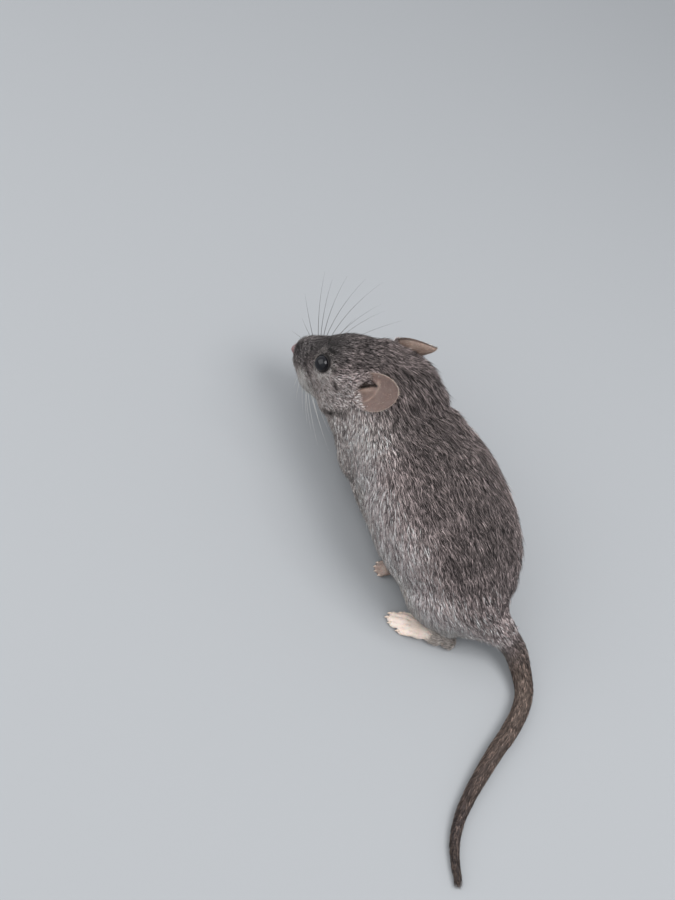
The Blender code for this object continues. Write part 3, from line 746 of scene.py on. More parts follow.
def ear_folds(share, across):
    """How far the folds stand out of the ear's hollow, in mm, with one more above the way in."""
    high = opening_edges(min(share, OPENING_END))[1]
    fold = FOLD_OUT * hill(across, high + 0.1, 0.09) * (1 - step(share, 0.42, 0.58))
    folds = LOBE_OUT * ear_lobe(share, across) + RIDGE_OUT * ear_ridge(share, across) + fold
    return folds - OPENING_DEPTH * inside_opening(share, across)


# %% Ear leaf


def ear_bend(share, side):
    """The leaf's width and how far it curls, in radians, at that share."""
    share = np.clip(share, 0, 0.9999)
    root, blunt = EAR_ROUND[side]
    full = np.sin(math.pi * (root + (1 - root) * share)) ** blunt
    width = np.maximum(EAR_WIDTH * full, 0.02)
    return width, np.radians(EAR_CURL[side] + EAR_FUNNEL[side] * (1 - share) ** 4)


def ear_half(height, side):
    """How wide that half of the ear is."""
    return np.where(height > 0, *EAR_HALVES[side])


def ear_place(points, side):
    """Share from root to tip, and across from -1 to 1, for points on an ear in the shared frame."""
    local = (points - on_head(*EAR_SPOT[side])) @ ear_axes(side)
    share = np.clip(-local[:, 0] / EAR_HEIGHT, 0, 1)
    height = local[:, 2] + EAR_DROOP[side] * share**2
    height = height / ear_half(height, side)
    width, curl = ear_bend(share, side)
    return share, np.clip(2 * np.arcsin(np.clip(height * curl / width, -1, 1)) / curl, -1, 1)


def ear_leaf(share, across, side):
    """A point of the ear's middle surface in its own axes."""
    width, curl = ear_bend(share, side)
    radius = width / curl
    turn = across * curl / 2
    depth = radius * (math.cos(turn) - math.cos(curl / 2))
    rim = EAR_RIM * rise(np.array(abs(across)), 0.84, 1.0)
    folds = ear_folds(share, across) if side > 0 else 0.0
    out = side * (EAR_LEAN[side] * share**2 - depth - rim + folds)
    height = radius * math.sin(turn) * float(ear_half(turn, side))
    return (-share * EAR_HEIGHT, out, height - EAR_DROOP[side] * share**2)


def make_ear(side):
    """One ear, cupped, thin, with a soft rim."""
    grid = []
    for i in range(EAR_STEPS + 1):
        share = math.sin(math.pi / 2 * i / EAR_STEPS)
        grid += [ear_leaf(share, 2 * j / EAR_SIDES - 1, side) for j in range(EAR_SIDES + 1)]
    root = on_head(*EAR_SPOT[side])
    grid = np.array(grid) @ ear_axes(side).T + root
    wide = EAR_SIDES + 1
    faces = [(i * wide + j, i * wide + j + 1, (i + 1) * wide + j + 1, (i + 1) * wide + j)
             for i in range(EAR_STEPS) for j in range(EAR_SIDES)]
    ear = new_object("ear", mesh_of("ear", grid, faces))
    apply_modifier(ear, "WELD", merge_threshold=0.05 * MM)
    apply_modifier(ear, "SOLIDIFY", thickness=EAR_THICKNESS * MM, offset=0.0)
    apply_modifier(ear, "SUBSURF", levels=1, render_levels=1)
    print("ear triangles:", 2 * len(ear.data.polygons), "root (mm):", root.round(1))
    return ear


ears = {side: make_ear(side) for side in (1, -1)}

# %% [markdown]
# ## Nose and eyelids
# The nose leather is a small moist bulb with two comma-shaped nostrils at its sides and a groove
# below. The lids are a soft ring that grips the eyeball. They could be pulled up from the skin, but
# its faces are too wide there, so they are a lathe profile turned about the eye's own axis, and the
# opening is round and clean whatever the skin beside it does.

# %% Nose leather and lids
NOSE_RADII = np.array((2.2, 2.7, 2.0))
NOSTRIL = np.array((1.3, 1.55, -0.3))  # forward, sideways and up from the nose's middle
NOSTRIL_SHAPE = np.array((1.0, 0.9, 1.5))  # it is lower than it is wide
NOSTRIL_REACH, NOSTRIL_BACK, NOSTRIL_IN = 0.56, 0.75, 0.45
GROOVE_REACH, GROOVE_DEPTH = 0.28, 0.35
EYE_RADIUS = 3.45
CORNEA = 0.035  # how far it bulges, against the eye's radius
EYE_LOOK = (0.06, 0.86, 0.50)  # where the left eye looks: forward, left, up
# radius (mm), and the angle from where the eye looks (degrees)
LID_PROFILE = ((3.44, 108), (3.44, 78), (3.52, 75), (3.68, 75.5), (3.8, 80), (3.86, 88), (3.8, 98),
               (3.6, 108))
LID_EDGE, LID_SLANT = 79, 1.5  # the opening is that many degrees longer than it is high


def make_nose():
    """The nose bulb with its nostrils pressed in."""
    points, faces = egg((0, 0, 0), NOSE_RADII, steps=44)
    for side in (1, -1):
        spot = NOSTRIL * np.array((1, side, 1))
        near = nearness((points - spot) * NOSTRIL_SHAPE, 0, NOSTRIL_REACH)
        points = points - near[:, None] * np.array((NOSTRIL_BACK, NOSTRIL_IN * side, 0))
    groove = np.exp(-((points[:, 1] / GROOVE_REACH) ** 2)) * rise(-points[:, 2], 0.1, 1.2)
    points[:, 0] -= GROOVE_DEPTH * groove
    return new_object("nose_skin", mesh_of("nose", points @ np.array(HEAD_AXES).T + NOSE, faces))


def eye_axes(side):
    """Columns across, across and outward for one eye."""
    look = HEAD_AXES @ Vector((EYE_LOOK[0], side * EYE_LOOK[1], EYE_LOOK[2])).normalized()
    first = look.orthogonal().normalized()
    return np.array(Matrix((first, look.cross(first), look)).transposed())


def make_lids(side, steps=56):
    """The ring of the lids around one eye."""
    points, faces = [], []
    stops = len(LID_PROFILE)
    for i in range(steps):
        turn = 2 * math.pi * i / steps
        for radius, polar in LID_PROFILE:
            out = math.radians(polar + (LID_SLANT * math.cos(2 * turn) if polar < LID_EDGE else 0))
            wide = radius * math.sin(out)
            points.append((wide * math.cos(turn), wide * math.sin(turn), radius * math.cos(out)))
        for j in range(stops):
            faces.append((i * stops + j, i * stops + (j + 1) % stops,
                          (i + 1) % steps * stops + (j + 1) % stops, (i + 1) % steps * stops + j))
    points = np.array(points) @ eye_axes(side).T + EYES[side]
    ring = new_object("lids", mesh_of("lids", points, faces))
    apply_modifier(ring, "SUBSURF", levels=1, render_levels=1)
    return ring


nose = make_nose()
lids = [make_lids(side) for side in (1, -1)]

# %% [markdown]
# ## Eyes
# Each eyeball is a fine sphere with the slight bulge of the cornea, turned to look out along its own
# axis. It stays a piece of its own, so that its wet gloss ends cleanly at the lids, and replaces the
# plain ball of the solids, which has too few faces for a clean glint.

# %% Eyes
for side, word in ((1, "left"), (-1, "right")):
    points, faces = egg((0, 0, 0), (1, 1, 1), steps=48)
    bulge = 1 + CORNEA * rise(points[:, 2], 0.35, 1.0)
    shaped = points * bulge[:, None] * EYE_RADIUS
    eye = new_object(f"eyeball_{word}", mesh_of("eye", shaped @ eye_axes(side).T + EYES[side], faces))
    eye.data.materials.append(EYE)
    eye.data.shade_smooth()
    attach(eye, "root")
    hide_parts(f"eye_{word}")
    print("eye", word, "looks along", eye_axes(side)[:, 2].round(2))

# %% [markdown]
# ## Markings
# A brown rat is darkest along the back and the top of the head, greyer and paler down the flanks,
# and palest on the belly, the lips and the feet. This could be painted by hand, but a rule keeps the
# skin and the coat alike. A line of places from the nose to the tail, inside the body, tells how far
# up or down its side a point lies, and the tint follows from that. A second set of lines runs down
# the legs, and all of them also say which way the coat is combed. The same tint also carries painted
# light on the left shoulder, and painted shade below the cheek and along the creases of the face.

# %% Comb lines
SPINE = np.array([
    on_head(46, 0, 0), on_head(34, 0, -3), on_head(18, 0, -5), on_head(0, 0, -5), (-9.9, -68.4, 37.4),
    (-8.4, -60.4, 33.6), (-8.2, -49.4, 31), (-11.4, -35.4, 31.2), (-10.6, -19.4, 30.4), (-9.9, -4.4, 29),
    (-9.9, 8.6, 26.2), (-10.6, 20.1, 21), (-14.4, 28.6, 17), (-21, 36.6, 13), (-25.9, 43.1, 9),
    (-26.4, 51.6, 5.4), (-23.9, 59.6, 3.6), (-17.9, 65.6, 3.4)])
LEG_LINES = {
    "left shank": [(4.2, 2.6, 13), (0.2, 14.6, 10.4), (-3.6, 26.6, 6.6)],
    "right shank": [(-32.4, -1.4, 12), (-29.4, 8.6, 9), (-26.4, 17.1, 5.6)],
    "left arm": [(4.6, -46.4, 17), (4.6, -34.4, 11), (3.6, -20.4, 6.5), (3.4, -9.4, 4)],
    "right arm": [(-27.4, -49.4, 18), (-27.9, -45.4, 11), (-25.4, -52.4, 5.6), (-24.4, -57.4, 3.6)],
}
LINE_BLEND = 3.0  # mm, over which neighbouring directions of a line are blended


def along_line(points, line, reach):
    """For each point: a line's direction and place beside it, and a weight that fades with distance."""
    fine = smooth_line(line, 6 * len(line))
    directions = np.gradient(fine, axis=0)
    directions /= np.linalg.norm(directions, axis=1)[:, None]
    gaps = np.linalg.norm(points[:, None] - fine[None], axis=2)
    near = gaps.min(1)
    share = np.exp(-((gaps - near[:, None]) / LINE_BLEND) ** 2)
    share /= share.sum(1)[:, None]
    return share @ directions, share @ fine, np.exp(-((near / reach) ** 2))


def unit(vectors):
    """The vectors at length 1."""
    return vectors / np.maximum(np.linalg.norm(vectors, axis=1), 1e-9)[:, None]


def flow(points):
    """The direction towards the tail, and how far up its side each point is: 1 on the back, -1 below."""
    heading, middle, _ = along_line(points, SPINE, 40)
    heading = unit(heading)
    up = unit(np.array((0, 0, 1.0)) - heading[:, 2:] * heading)
    out = points - middle
    out = unit(out - (out * heading).sum(1)[:, None] * heading)
    return heading, (out * up).sum(1)


def ripple(points, wavelengths, seed):
    """Slow smooth noise from about -1 to 1: a sum of waves of those lengths in millimetres."""
    own = np.random.default_rng(seed)
    total = np.zeros(len(points))
    for wavelength in wavelengths:
        for _ in range(3):
            direction = own.normal(size=3)
            direction /= np.linalg.norm(direction)
            total += np.sin(points @ direction * 2 * np.pi / wavelength + own.uniform(0, 2 * np.pi))
    return total / (2.2 * len(wavelengths))


# %% Markings
# how far up the side, and the tone there
COAT_TONES = ((-1.0, "#aaa4a0"), (-0.5, "#a09995"), (0.0, "#8d8585"), (0.45, "#7a7170"),
              (0.8, "#69605f"), (1.0, "#5f5756"))
HEAD_TONE = "#2f2d2d"
CHEEK_TONE = "#6f6967"
MUZZLE_TONE = "#454242"
LID_RING_TONE = "#948e8a"
LIP_TONE = "#a8a39e"
# the paler tone of the painted light on the left shoulder
SHOULDER_LIGHT_TONE = "#aca5a2"
LEG_TONE = "#918b87"
COAT_GAIN = 3.5  # tufts shade one another, so each is paler than the coat looks
BACK_DARKER, RUMP_PALER = 0.52, 0.6  # along the back, before and behind the hips
# the darker nape, and painted shade below the cheek where it bulges over: place, reach (mm), how dark
PATCHES_DARKER = (((-5, -43, 53), 15, 0.25), (on_head(2, 20, -15), 9, 0.16))
# painted light: a paler patch on the left shoulder, which faces the lamps
SHOULDER_LIGHT_PATCH = ((11, -52, 41), 9.5, 0.42)  # place, reach (mm) and share of its tone
# dark lines on the left of the face, in the head's frame: three by the eye, then painted shade along
# the creases under the cheek and beside the whisker pad; reach (mm), how dark, and their places
FACE_MARKS_AND_CREASE_SHADE = (
    (1.0, 0.92, (20.4, 6.4, 10.2), (17.6, 7.2, 10.1)), (0.7, 0.7, (17.4, 10.5, 5.4), (15.5, 11.5, 3.9)),
    (0.9, 0.95, (15.8, 13.6, 0), (14.7, 14.7, -2.2)),
    (1.4, 0.65, (22, 16.5, -12.5), (16.7, 18.5, -11.3)),
    (1.4, 0.65, (16.7, 18.5, -11.3), (6.1, 21.6, -6.4)),
    (1.2, 0.5, (6.1, 21.6, -6.4), (4, 19.1, -5.2)), (0.8, 0.55, (32.5, 6.4, 6.5), (32.4, 8.9, 3.2)),
    (0.8, 0.6, (32.4, 8.9, 3.2), (30.1, 11, -0.2)), (0.9, 0.6, (30.1, 11, -0.2), (27.9, 12.6, -5.8)))
LIP_LINE = ((35.2, 9.4, -0.8), (31.6, 11.6, -6.6))
LIP_REACH = 2.2
LID_RING, LID_RING_REACH = 4.9, 1.4  # the pale ring's distance from the eye's middle, and its width


def blended(base, tone, share):
    """A tint drawn towards a tone by a share."""
    return base + (np.array(linear(tone)) - base) * share[:, None]


def gap_to(points, start, end):
    """How far each point is from a straight line between two places."""
    start, end = np.array(start, float), np.array(end, float)
    share = np.clip((points - start) @ (end - start) / ((end - start) @ (end - start)), 0, 1)
    return np.linalg.norm(points - start - share[:, None] * (end - start), axis=1)


def coat_tint(points):
    """The coat's linear colour at each point."""
    upness = flow(points)[1]
    head = in_head(points)
    steps = [tone[0] for tone in COAT_TONES]
    colours = np.array([linear(tone[1]) for tone in COAT_TONES])
    upness = upness + 0.10 * ripple(points, (18, 30), 5)
    tint = np.stack([np.interp(upness, steps, colours[:, i]) for i in range(3)], 1)
    fore = 1 - rise(points[:, 1], 8, 32)
    tint *= (1 - BACK_DARKER * fore * rise(upness, 0.3, 0.85))[:, None]
    tint *= (1 + RUMP_PALER * rise(points[:, 1], 28, 56) * rise(upness, 0.3, 0.8))[:, None]
    nape, under_cheek_shade = PATCHES_DARKER
    tint *= (1 - nape[2] * nearness(points, nape[0], nape[1]))[:, None]
    on_the_head = rise(head[:, 0], -8, 4)
    crown = rise(head[:, 2], 2, 9.5) * (0.36 + 0.56 * rise(head[:, 0], 6, 20))
    tint = blended(tint, HEAD_TONE, on_the_head * crown)
    tint = blended(tint, CHEEK_TONE, on_the_head * rise(-head[:, 2], -7, 3) * 0.8)
    ring = np.exp(-(((nearest_eye(points) - LID_RING) / LID_RING_REACH) ** 2))
    tint = blended(tint, LID_RING_TONE, ring * (0.12 + 0.45 * rise(-head[:, 2], -8, -3)))
    tint = blended(tint, MUZZLE_TONE, rise(head[:, 0], 29, 35) * rise(head[:, 2], -3, 1) * 0.85)
    lips = rise(head[:, 0], 26, 37) * rise(-head[:, 2], 1.0, 6.0)
    lip_line = np.exp(-(gap_to(head, *LIP_LINE) / LIP_REACH) ** 2)
    tint = blended(tint, LIP_TONE, np.maximum(lips * 0.85, 0.8 * lip_line))
    # painted light on the left shoulder
    spot, reach, share = SHOULDER_LIGHT_PATCH
    tint = blended(tint, SHOULDER_LIGHT_TONE, nearness(points, spot, reach) * share)
    # painted shade below the cheek, where it bulges over
    tint *= (1 - under_cheek_shade[2] * nearness(points, under_cheek_shade[0], under_cheek_shade[1]))[:, None]
    for name, spot in PAWS.items():
        reach = (12, 24) if name.startswith("hind") else (6, 20)
        tint = blended(tint, LEG_TONE, 0.7 * (1 - rise(distance_to(points, spot), *reach)))
    # dark marks by the eye, and painted shade along the creases under the cheek and beside the whisker pad
    for reach, dark, start, end in FACE_MARKS_AND_CREASE_SHADE:
        tint *= 1 - dark * np.exp(-((gap_to(head, start, end) / reach) ** 2))[:, None]
    return tint * COAT_GAIN


def paint(thing, tints, along=None):
    """Stores each point's tint, and a number that runs along it, as attributes."""
    mesh = thing.data
    colours = np.concatenate([tints, np.ones((len(tints), 1))], 1).astype(np.float32)
    made = mesh.attributes.new("tint", "FLOAT_COLOR", "POINT")
    made.data.foreach_set("color", colours.ravel())
    way = np.zeros(len(tints), np.float32) if along is None else np.asarray(along, np.float32)
    mesh.attributes.new("along", "FLOAT", "POINT").data.foreach_set("value", way)


# %% [markdown]
# ## One skin
# Each part of the skin now gets its tint and material: brownish pink ears, the left one paler at its
# rim, with painted highlight on its raised folds and painted shade in the way in, the right one dark
# along its upper edge, hind feet nearly white with dusky heels, browner forepaws, a dull pink nose
# with painted shade in its nostrils, and a tail that darkens towards its tip.
# Under the fur the skin takes a fifth of the coat's tint, as it is in the tufts' shade. Then all are
# joined into one piece that stands for all the flesh of the solids, so that no seam shows.

# %% Tints of the bare skin
EAR_TONE = {1: "#6b5a54", -1: "#87756a"}
# painted highlight on the left ear's raised lobe and ridge, and painted shade in its way in, darkest along
# the lower edge
EAR_FOLD_HIGHLIGHT_TONE, EAR_HOLLOW_SHADE_TONE, EAR_DEEP_SHADE_TONE = "#8f7b70", "#473d39", "#120f0e"
EAR_RIM_TONE, EAR_EDGE_TONE = "#a09489", "#2e2623"
FOOT_TONE, TOE_TONE, HEEL_TONE = "#cabfb4", "#dccfc4", "#5f584f"
PAW_TONE = "#918178"
TAIL_TONES = ((0, "#4d453f"), (30, "#63574f"), (70, "#493f3a"), (100, "#383030"), (125, "#2a2421"))
LID_TONE = "#100e0e"
# the nose leather's dull pink, and painted shade in the nostrils
NOSE_TONE, NOSTRIL_SHADE_TONE = "#785f60", "#2a1a1a"
HIDE_SHADE = 0.2  # the hide's tint against the coat's


def tone(points, hex_colour):
    """That colour for every point."""
    return np.tile(linear(hex_colour), (len(points), 1))


def foot_tint(points, name):
    """A hind foot's tint, with its toes and heel, or a forepaw's."""
    if not name.startswith("hind"):
        return tone(points, PAW_TONE)
    gap = distance_to(points, np.array((*STANDS[name][0], 0)))
    tint = blended(tone(points, FOOT_TONE), TOE_TONE, rise(gap, 17, 25) * 0.8)
    return blended(tint, HEEL_TONE, (1 - rise(gap, 4, 10)) * rise(points[:, 2], 1, 3.5))


def ear_tint(points, side):
    """The tint of an ear: painted highlight on the folds, painted shade in the way in, and the rim."""
    share, across = ear_place(points, side)
    tint = tone(points, EAR_TONE[side])
    if side < 0:
        return blended(tint, EAR_EDGE_TONE, rise(across, 0.86, 0.95) * 0.9)
    # painted highlight on the raised lobe and ridge
    pale = np.array([max(ear_lobe(a, b), 0.8 * ear_ridge(a, b)) for a, b in zip(share, across)])
    opening = np.array([inside_opening(a, b) for a, b in zip(share, across)])
    above_edge = across - np.array([opening_edges(min(a, OPENING_END))[0] for a in share])
    tint = blended(tint, EAR_FOLD_HIGHLIGHT_TONE, pale)
    # painted shade in the way in, darkest along its lower edge
    tint = blended(tint, EAR_HOLLOW_SHADE_TONE, opening)
    tint = blended(tint, EAR_DEEP_SHADE_TONE, opening * (1 - rise(above_edge, 0.1, 0.2)))
    shown = np.where(across > 0, rise(share, 0.3, 0.45), rise(share, 0.12, 0.25))
    edge = np.maximum(np.abs(across), 1 - 2.4 * (1 - share))
    return blended(tint, EAR_RIM_TONE, rise(edge, 0.96, 0.985) * shown)


def nose_tint(points):
    """Dull pink, with painted shade in the nostrils."""
    local = (points - NOSE) @ np.array(HEAD_AXES)
    gap = np.minimum(distance_to(local, NOSTRIL), distance_to(local, NOSTRIL * (1, -1, 1)))
    return blended(tone(points, NOSE_TONE), NOSTRIL_SHADE_TONE, 1 - rise(gap, 0.75, 1.15))


# %% Paint the skin
paint(hide, coat_tint(coordinates(hide.data)) * HIDE_SHADE)
for foot, name in zip(feet, FEET):
    paint(foot, foot_tint(coordinates(foot.data), name))
tail_colours = np.array([linear(stop[1]) for stop in TAIL_TONES])
tail_steps = [stop[0] for stop in TAIL_TONES]
tail_tint = np.stack([np.interp(tail_rings, tail_steps, tail_colours[:, i]) for i in range(3)], 1)
paint(tail, tail_tint, tail_rings)
for side, ear in ears.items():
    paint(ear, ear_tint(coordinates(ear.data), side))
paint(nose, nose_tint(coordinates(nose.data)))
for lid in lids:
    paint(lid, tone(coordinates(lid.data), LID_TONE))

for finish, things in ((UNDERCOAT, [hide, *lids]), (TAIL_SKIN, [tail]), (NOSE_SKIN, [nose]),
                       (FOOT_SKIN, feet[:2]), (PAW_SKIN, feet[2:]), (EAR_SKIN, ears.values())):
    for thing in things:
        thing.data.materials.clear()
        thing.data.materials.append(finish)
        thing.data.shade_smooth()

# %% Join the skin
bpy.ops.object.select_all(action="DESELECT")
for thing in (tail, nose, *feet, *ears.values(), *lids, hide):
    thing.select_set(True)
bpy.context.view_layer.objects.active = hide
bpy.ops.object.join()
skin = hide
skin.name = "skin"
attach(skin, "root")
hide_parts(*FLESH, *FEET, "nose", "ear_left", "ear_right",
            "tail_base", "tail_middle", "tail_end", "tail_tip")
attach(claws, "root")
print("skin points:", len(skin.data.vertices), "polygons:", len(skin.data.polygons))

# %% [markdown]
# ## Unwrapping the skin
# The tufts are coloured one by one, and an export that bakes colours into a picture needs to know
# where each belongs. A map cut by hand would follow the seams of a pelt, but any map without overlaps
# will do. So Smart UV Project unwraps the skin by its own shape, and each tuft takes a tiny patch at
# the place of its root on that map.

# %% Unwrap
MAP_NAME = "OFBake"
ISLAND_ANGLE, ISLAND_MARGIN = 70, 0.002  # degrees, and a share of the map

skin.data.uv_layers.active = skin.data.uv_layers.new(name=MAP_NAME)
bpy.ops.object.select_all(action="DESELECT")
skin.select_set(True)
bpy.context.view_layer.objects.active = skin
bpy.ops.object.mode_set(mode="EDIT")
bpy.ops.mesh.select_all(action="SELECT")
bpy.ops.uv.smart_project(angle_limit=math.radians(ISLAND_ANGLE), island_margin=ISLAND_MARGIN,
                         correct_aspect=True)
bpy.ops.object.mode_set(mode="OBJECT")
print("unwrapped", len(skin.data.polygons), "faces")

# %% [markdown]
# ## Where the tufts grow
# A particle system could scatter the hairs, but its hairs are not mesh. So roots are scattered over
# the skin in arrays, in proportion to each triangle's area and to how thickly hair grows there: short
# fine hair stands closer than long. The scatter is seeded, so that it is the same each time.

# %% Roots


def surface_triangles(finish):
    """Corners, point normals and map places of the skin's triangles in that material."""
    mesh = skin.data
    mesh.calc_loop_triangles()
    count = len(mesh.loop_triangles)
    corners = np.empty(count * 3, np.int32)
    loops = np.empty(count * 3, np.int32)
    kinds = np.empty(count, np.int32)
    mesh.loop_triangles.foreach_get("vertices", corners)
    mesh.loop_triangles.foreach_get("loops", loops)
    mesh.loop_triangles.foreach_get("material_index", kinds)
    places = np.empty(len(mesh.loops) * 2, np.float32)
    mesh.uv_layers[MAP_NAME].data.foreach_get("uv", places)
    wanted = kinds == list(mesh.materials).index(finish)
    corners = corners.reshape(-1, 3)[wanted]
    loops = loops.reshape(-1, 3)[wanted]
    return (coordinates(mesh)[corners], coordinates(mesh, normals=True)[corners],
            places.reshape(-1, 2)[loops].astype(float))


def scatter(finish, density, random):
    """Random points on the skin in that material, with normal and map place.

    There are about density(point) of them to each square millimetre.
    """
    corners, normals, places = surface_triangles(finish)
    sides = np.cross(corners[:, 1] - corners[:, 0], corners[:, 2] - corners[:, 0])
    area = np.linalg.norm(sides, axis=1) / 2
    expected = area * density(corners.mean(1))
    counts = random.poisson(expected)
    which = np.repeat(np.arange(len(counts)), counts)
    a, b = random.random((2, len(which)))
    fold = a + b > 1
    a[fold], b[fold] = 1 - a[fold], 1 - b[fold]
    weights = np.stack([1 - a - b, a, b], 1)[:, :, None]
    return ((corners[which] * weights).sum(1), unit((normals[which] * weights).sum(1)),
            (places[which] * weights).sum(1))


# %% Roots of the coat
COVER = 3.6  # how many tufts lie over each spot
ROOT_WIDTH, WIDENING = 0.12, 0.027  # a tuft's width at its root (mm), and how much more to each mm


def hair_width(length):
    """How wide a tuft of that length is at its root, in millimetres."""
    return ROOT_WIDTH + WIDENING * length


def density_for(cover, length):
    """Tufts to each square millimetre, if that many of that length lie over each spot."""
    return cover / (0.5 * length * hair_width(length))


def furred(points):
    """Where hair grows: not on the lids or the nose leather."""
    share = rise(nearest_eye(points), 3.9, 4.5)
    return share * rise(distance_to(points, NOSE + 0.6 * np.array(head_forward)), 1.9, 2.8)


def coat_density(points):
    """Tufts to each square millimetre of the body."""
    return density_for(furred(points) * COVER, hair_length(points))


roots, root_normals, root_places = scatter(UNDERCOAT, coat_density, chance)
print("roots:", len(roots))

# %% [markdown]
# ## Combing
# Hair lies towards the tail, and on the sides and below the ears it also falls a little. On the legs
# it runs down to the feet, and round the eyes it points away from them. It could be brushed by hand,
# but the comb lines already know the way. Slow ripples turn neighbouring tufts together, as in a real
# coat, and a little random turn keeps them from looking ruled.

# %% Comb
SAG, NECK_SAG = 0.22, 0.5  # how far hair falls on the sides, and under the ears
LEG_PULL, LEG_REACH = 3.0, 7.5  # how strongly a leg turns the hair, and how far round its line (mm)
EYE_PUSH, EYE_NEAR, EYE_FAR = 0.9, 4.0, 9.0
RIPPLE, MESS = 0.30, 0.16  # radians
HEAD_NEATER = 0.55


def laid_flat(way, normals):
    """Directions turned into the skin's own plane."""
    return unit(way - (way * normals).sum(1)[:, None] * normals)


def comb(points, normals, random):
    """The direction that each tuft lies in, along the skin."""
    heading, upness = flow(points)
    head = in_head(points)
    down = np.tile((0, 0, -1.0), (len(points), 1))
    neck = rise(head[:, 0], -34, -8) * (1 - rise(head[:, 0], -2, 8))
    sag = SAG * (1 - upness) + NECK_SAG * neck * (1 - rise(upness, 0.2, 0.9))
    way = heading + down * sag[:, None]
    for line in LEG_LINES.values():
        own, _, weight = along_line(points, line, LEG_REACH)
        way += own * (LEG_PULL * weight)[:, None]
    for side in (1, -1):
        away = points - EYES[side]
        gap = np.linalg.norm(away, axis=1)
        way += away / gap[:, None] * (EYE_PUSH * (1 - rise(gap, EYE_NEAR, EYE_FAR)))[:, None]
    way = laid_flat(way, normals)
    across = np.cross(normals, way)
    turn = RIPPLE * ripple(points, (7, 12, 21), 11) + random.normal(0, MESS, len(points))
    turn *= 1 - HEAD_NEATER * rise(head[:, 0], -10, 6)
    return way * np.cos(turn)[:, None] + across * np.sin(turn)[:, None]


# %% [markdown]
# ## Tufts
# A tuft is a thin three-sided spindle that rises from a point in the skin, bends over to lie along
# the body and ends in a point: five points and six triangles. The short hairs of the face, ears,
# feet and tail need no bend: four points and four triangles. Modelling one and copying it would take
# an object for each, so thousands are built at once as arrays and stored as plain meshes.

# %% Tuft builder
MOST_TUFTS = 32500  # bent tufts in a piece, which keeps it under 200,000 triangles
PATCH = 0.0015  # half the size of a tuft's patch on the map
ROLL = 0.5  # radians, how unevenly tufts are turned about themselves
THIN = 0.55  # how deep a tuft is against its width
BENT_SINK, SPIKE_SINK = 0.25, 0.1  # mm, how deep a root is in the skin
SPIKE_EXTRA = 0.25  # mm, what a spike's tip gains for its sunk root
BEND_AT = 0.45  # how far along a tuft bends over
SETTLE = (-0.15, 0.55)  # how much of its lift it keeps past the bend
LOWEST = 0.05  # mm over the floor
BENT_FACES = np.array([(2, 1, 0), (3, 2, 0), (1, 3, 0), (1, 2, 4), (2, 3, 4), (3, 1, 4)])
BENT_ALONG = np.array([0, 0.5, 0.5, 0.5, 1.0])
BENT_PATCH = np.array([(0, -1), (-1, 0), (1, 0), (0, 0.2), (0, 1)])
SPIKE_FACES = np.array([(0, 2, 1), (0, 1, 3), (1, 2, 3), (2, 0, 3)])
SPIKE_ALONG = np.array([0.2, 0.2, 0.2, 1.0])
SPIKE_PATCH = np.array([(-1, -1), (1, -1), (0, -0.5), (0, 1)])


def ring_of(middle, across, outward, width):
    """The three corners of a blade: two on top and one below."""
    half = width[:, None] / 2
    return [middle + across * half, middle - across * half, middle - outward * half * 2 * THIN]


def grow(roots, normals, way, length, width, lift, random, bent):
    """The points of one tuft for each root, as an array of tuft, point, coordinate."""
    roll = random.normal(0, ROLL, len(roots))
    side = np.cross(normals, way)
    across = side * np.cos(roll)[:, None] + normals * np.sin(roll)[:, None]
    outward = unit(np.cross(way, across))
    start = roots - normals * (BENT_SINK if bent else SPIKE_SINK)
    rising = way * np.cos(lift)[:, None] + normals * np.sin(lift)[:, None]
    if not bent:
        tip = start + rising * (length + SPIKE_EXTRA)[:, None]
        return np.stack([*ring_of(start, across, outward, width), tip], 1)
    settle = lift * random.uniform(*SETTLE, len(roots))
    lying = way * np.cos(settle)[:, None] + normals * np.sin(settle)[:, None]
    middle = start + rising * (BEND_AT * length)[:, None]
    tip = middle + lying * ((1 - BEND_AT) * length)[:, None]
    return np.stack([start, *ring_of(middle, across, outward, width), tip], 1)


def store(name, blades, faces, along, patch, tints, places):
    """One mesh piece of many blades, with tint, along and map."""
    blades[:, :, 2] = np.maximum(blades[:, :, 2], LOWEST)
    count, size = blades.shape[:2]
    whole = (faces[None] + (np.arange(count) * size)[:, None, None]).reshape(-1, 3)
    mesh = bpy.data.meshes.new(name)
    mesh.vertices.add(count * size)
    mesh.vertices.foreach_set("co", (blades.reshape(-1) * MM).astype(np.float32))
    mesh.loops.add(whole.size)
    mesh.loops.foreach_set("vertex_index", whole.ravel().astype(np.int32))
    mesh.polygons.add(len(whole))
    mesh.polygons.foreach_set("loop_start", np.arange(0, whole.size, 3, dtype=np.int32))
    mesh.update(calc_edges=True)
    spots = places[:, None] + patch[None] * PATCH
    spots = np.clip(spots.reshape(-1, 2), 0, 1)
    layer = mesh.uv_layers.new(name=MAP_NAME)
    layer.data.foreach_set("uv", spots[whole.ravel()].astype(np.float32).ravel())
    piece = new_object(name, mesh)
    paint(piece, np.repeat(tints, size, axis=0), np.tile(along, count))
    mesh.materials.append(FUR)
    mesh.shade_smooth()
    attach(piece, "root")
    print(name, "tufts:", count, "triangles:", len(whole))


# %% [markdown]
# ## The coat
# Nearly half the tufts are near the coat's tint there, over a third are dark and a fifth are pale,
# which gives the grizzle. Hair also gathers: some eight neighbours draw their tips together in a lock
# and share a shade. Without locks the coat would look like bristle.

# %% Grizzle and locks
SHORT = 2.7  # mm, below which a tuft isn't bent
LOCK = 8  # tufts in a lock
GATHER = 0.4  # how far the tips of a lock draw together
# how bright a tuft is against the coat's tint, and how much that varies
USUAL, DARK, PALE = (0.95, 0.15), (0.36, 0.09), (1.60, 0.22)
DARK_SHARE, PALE_SHARE = 0.36, 0.20


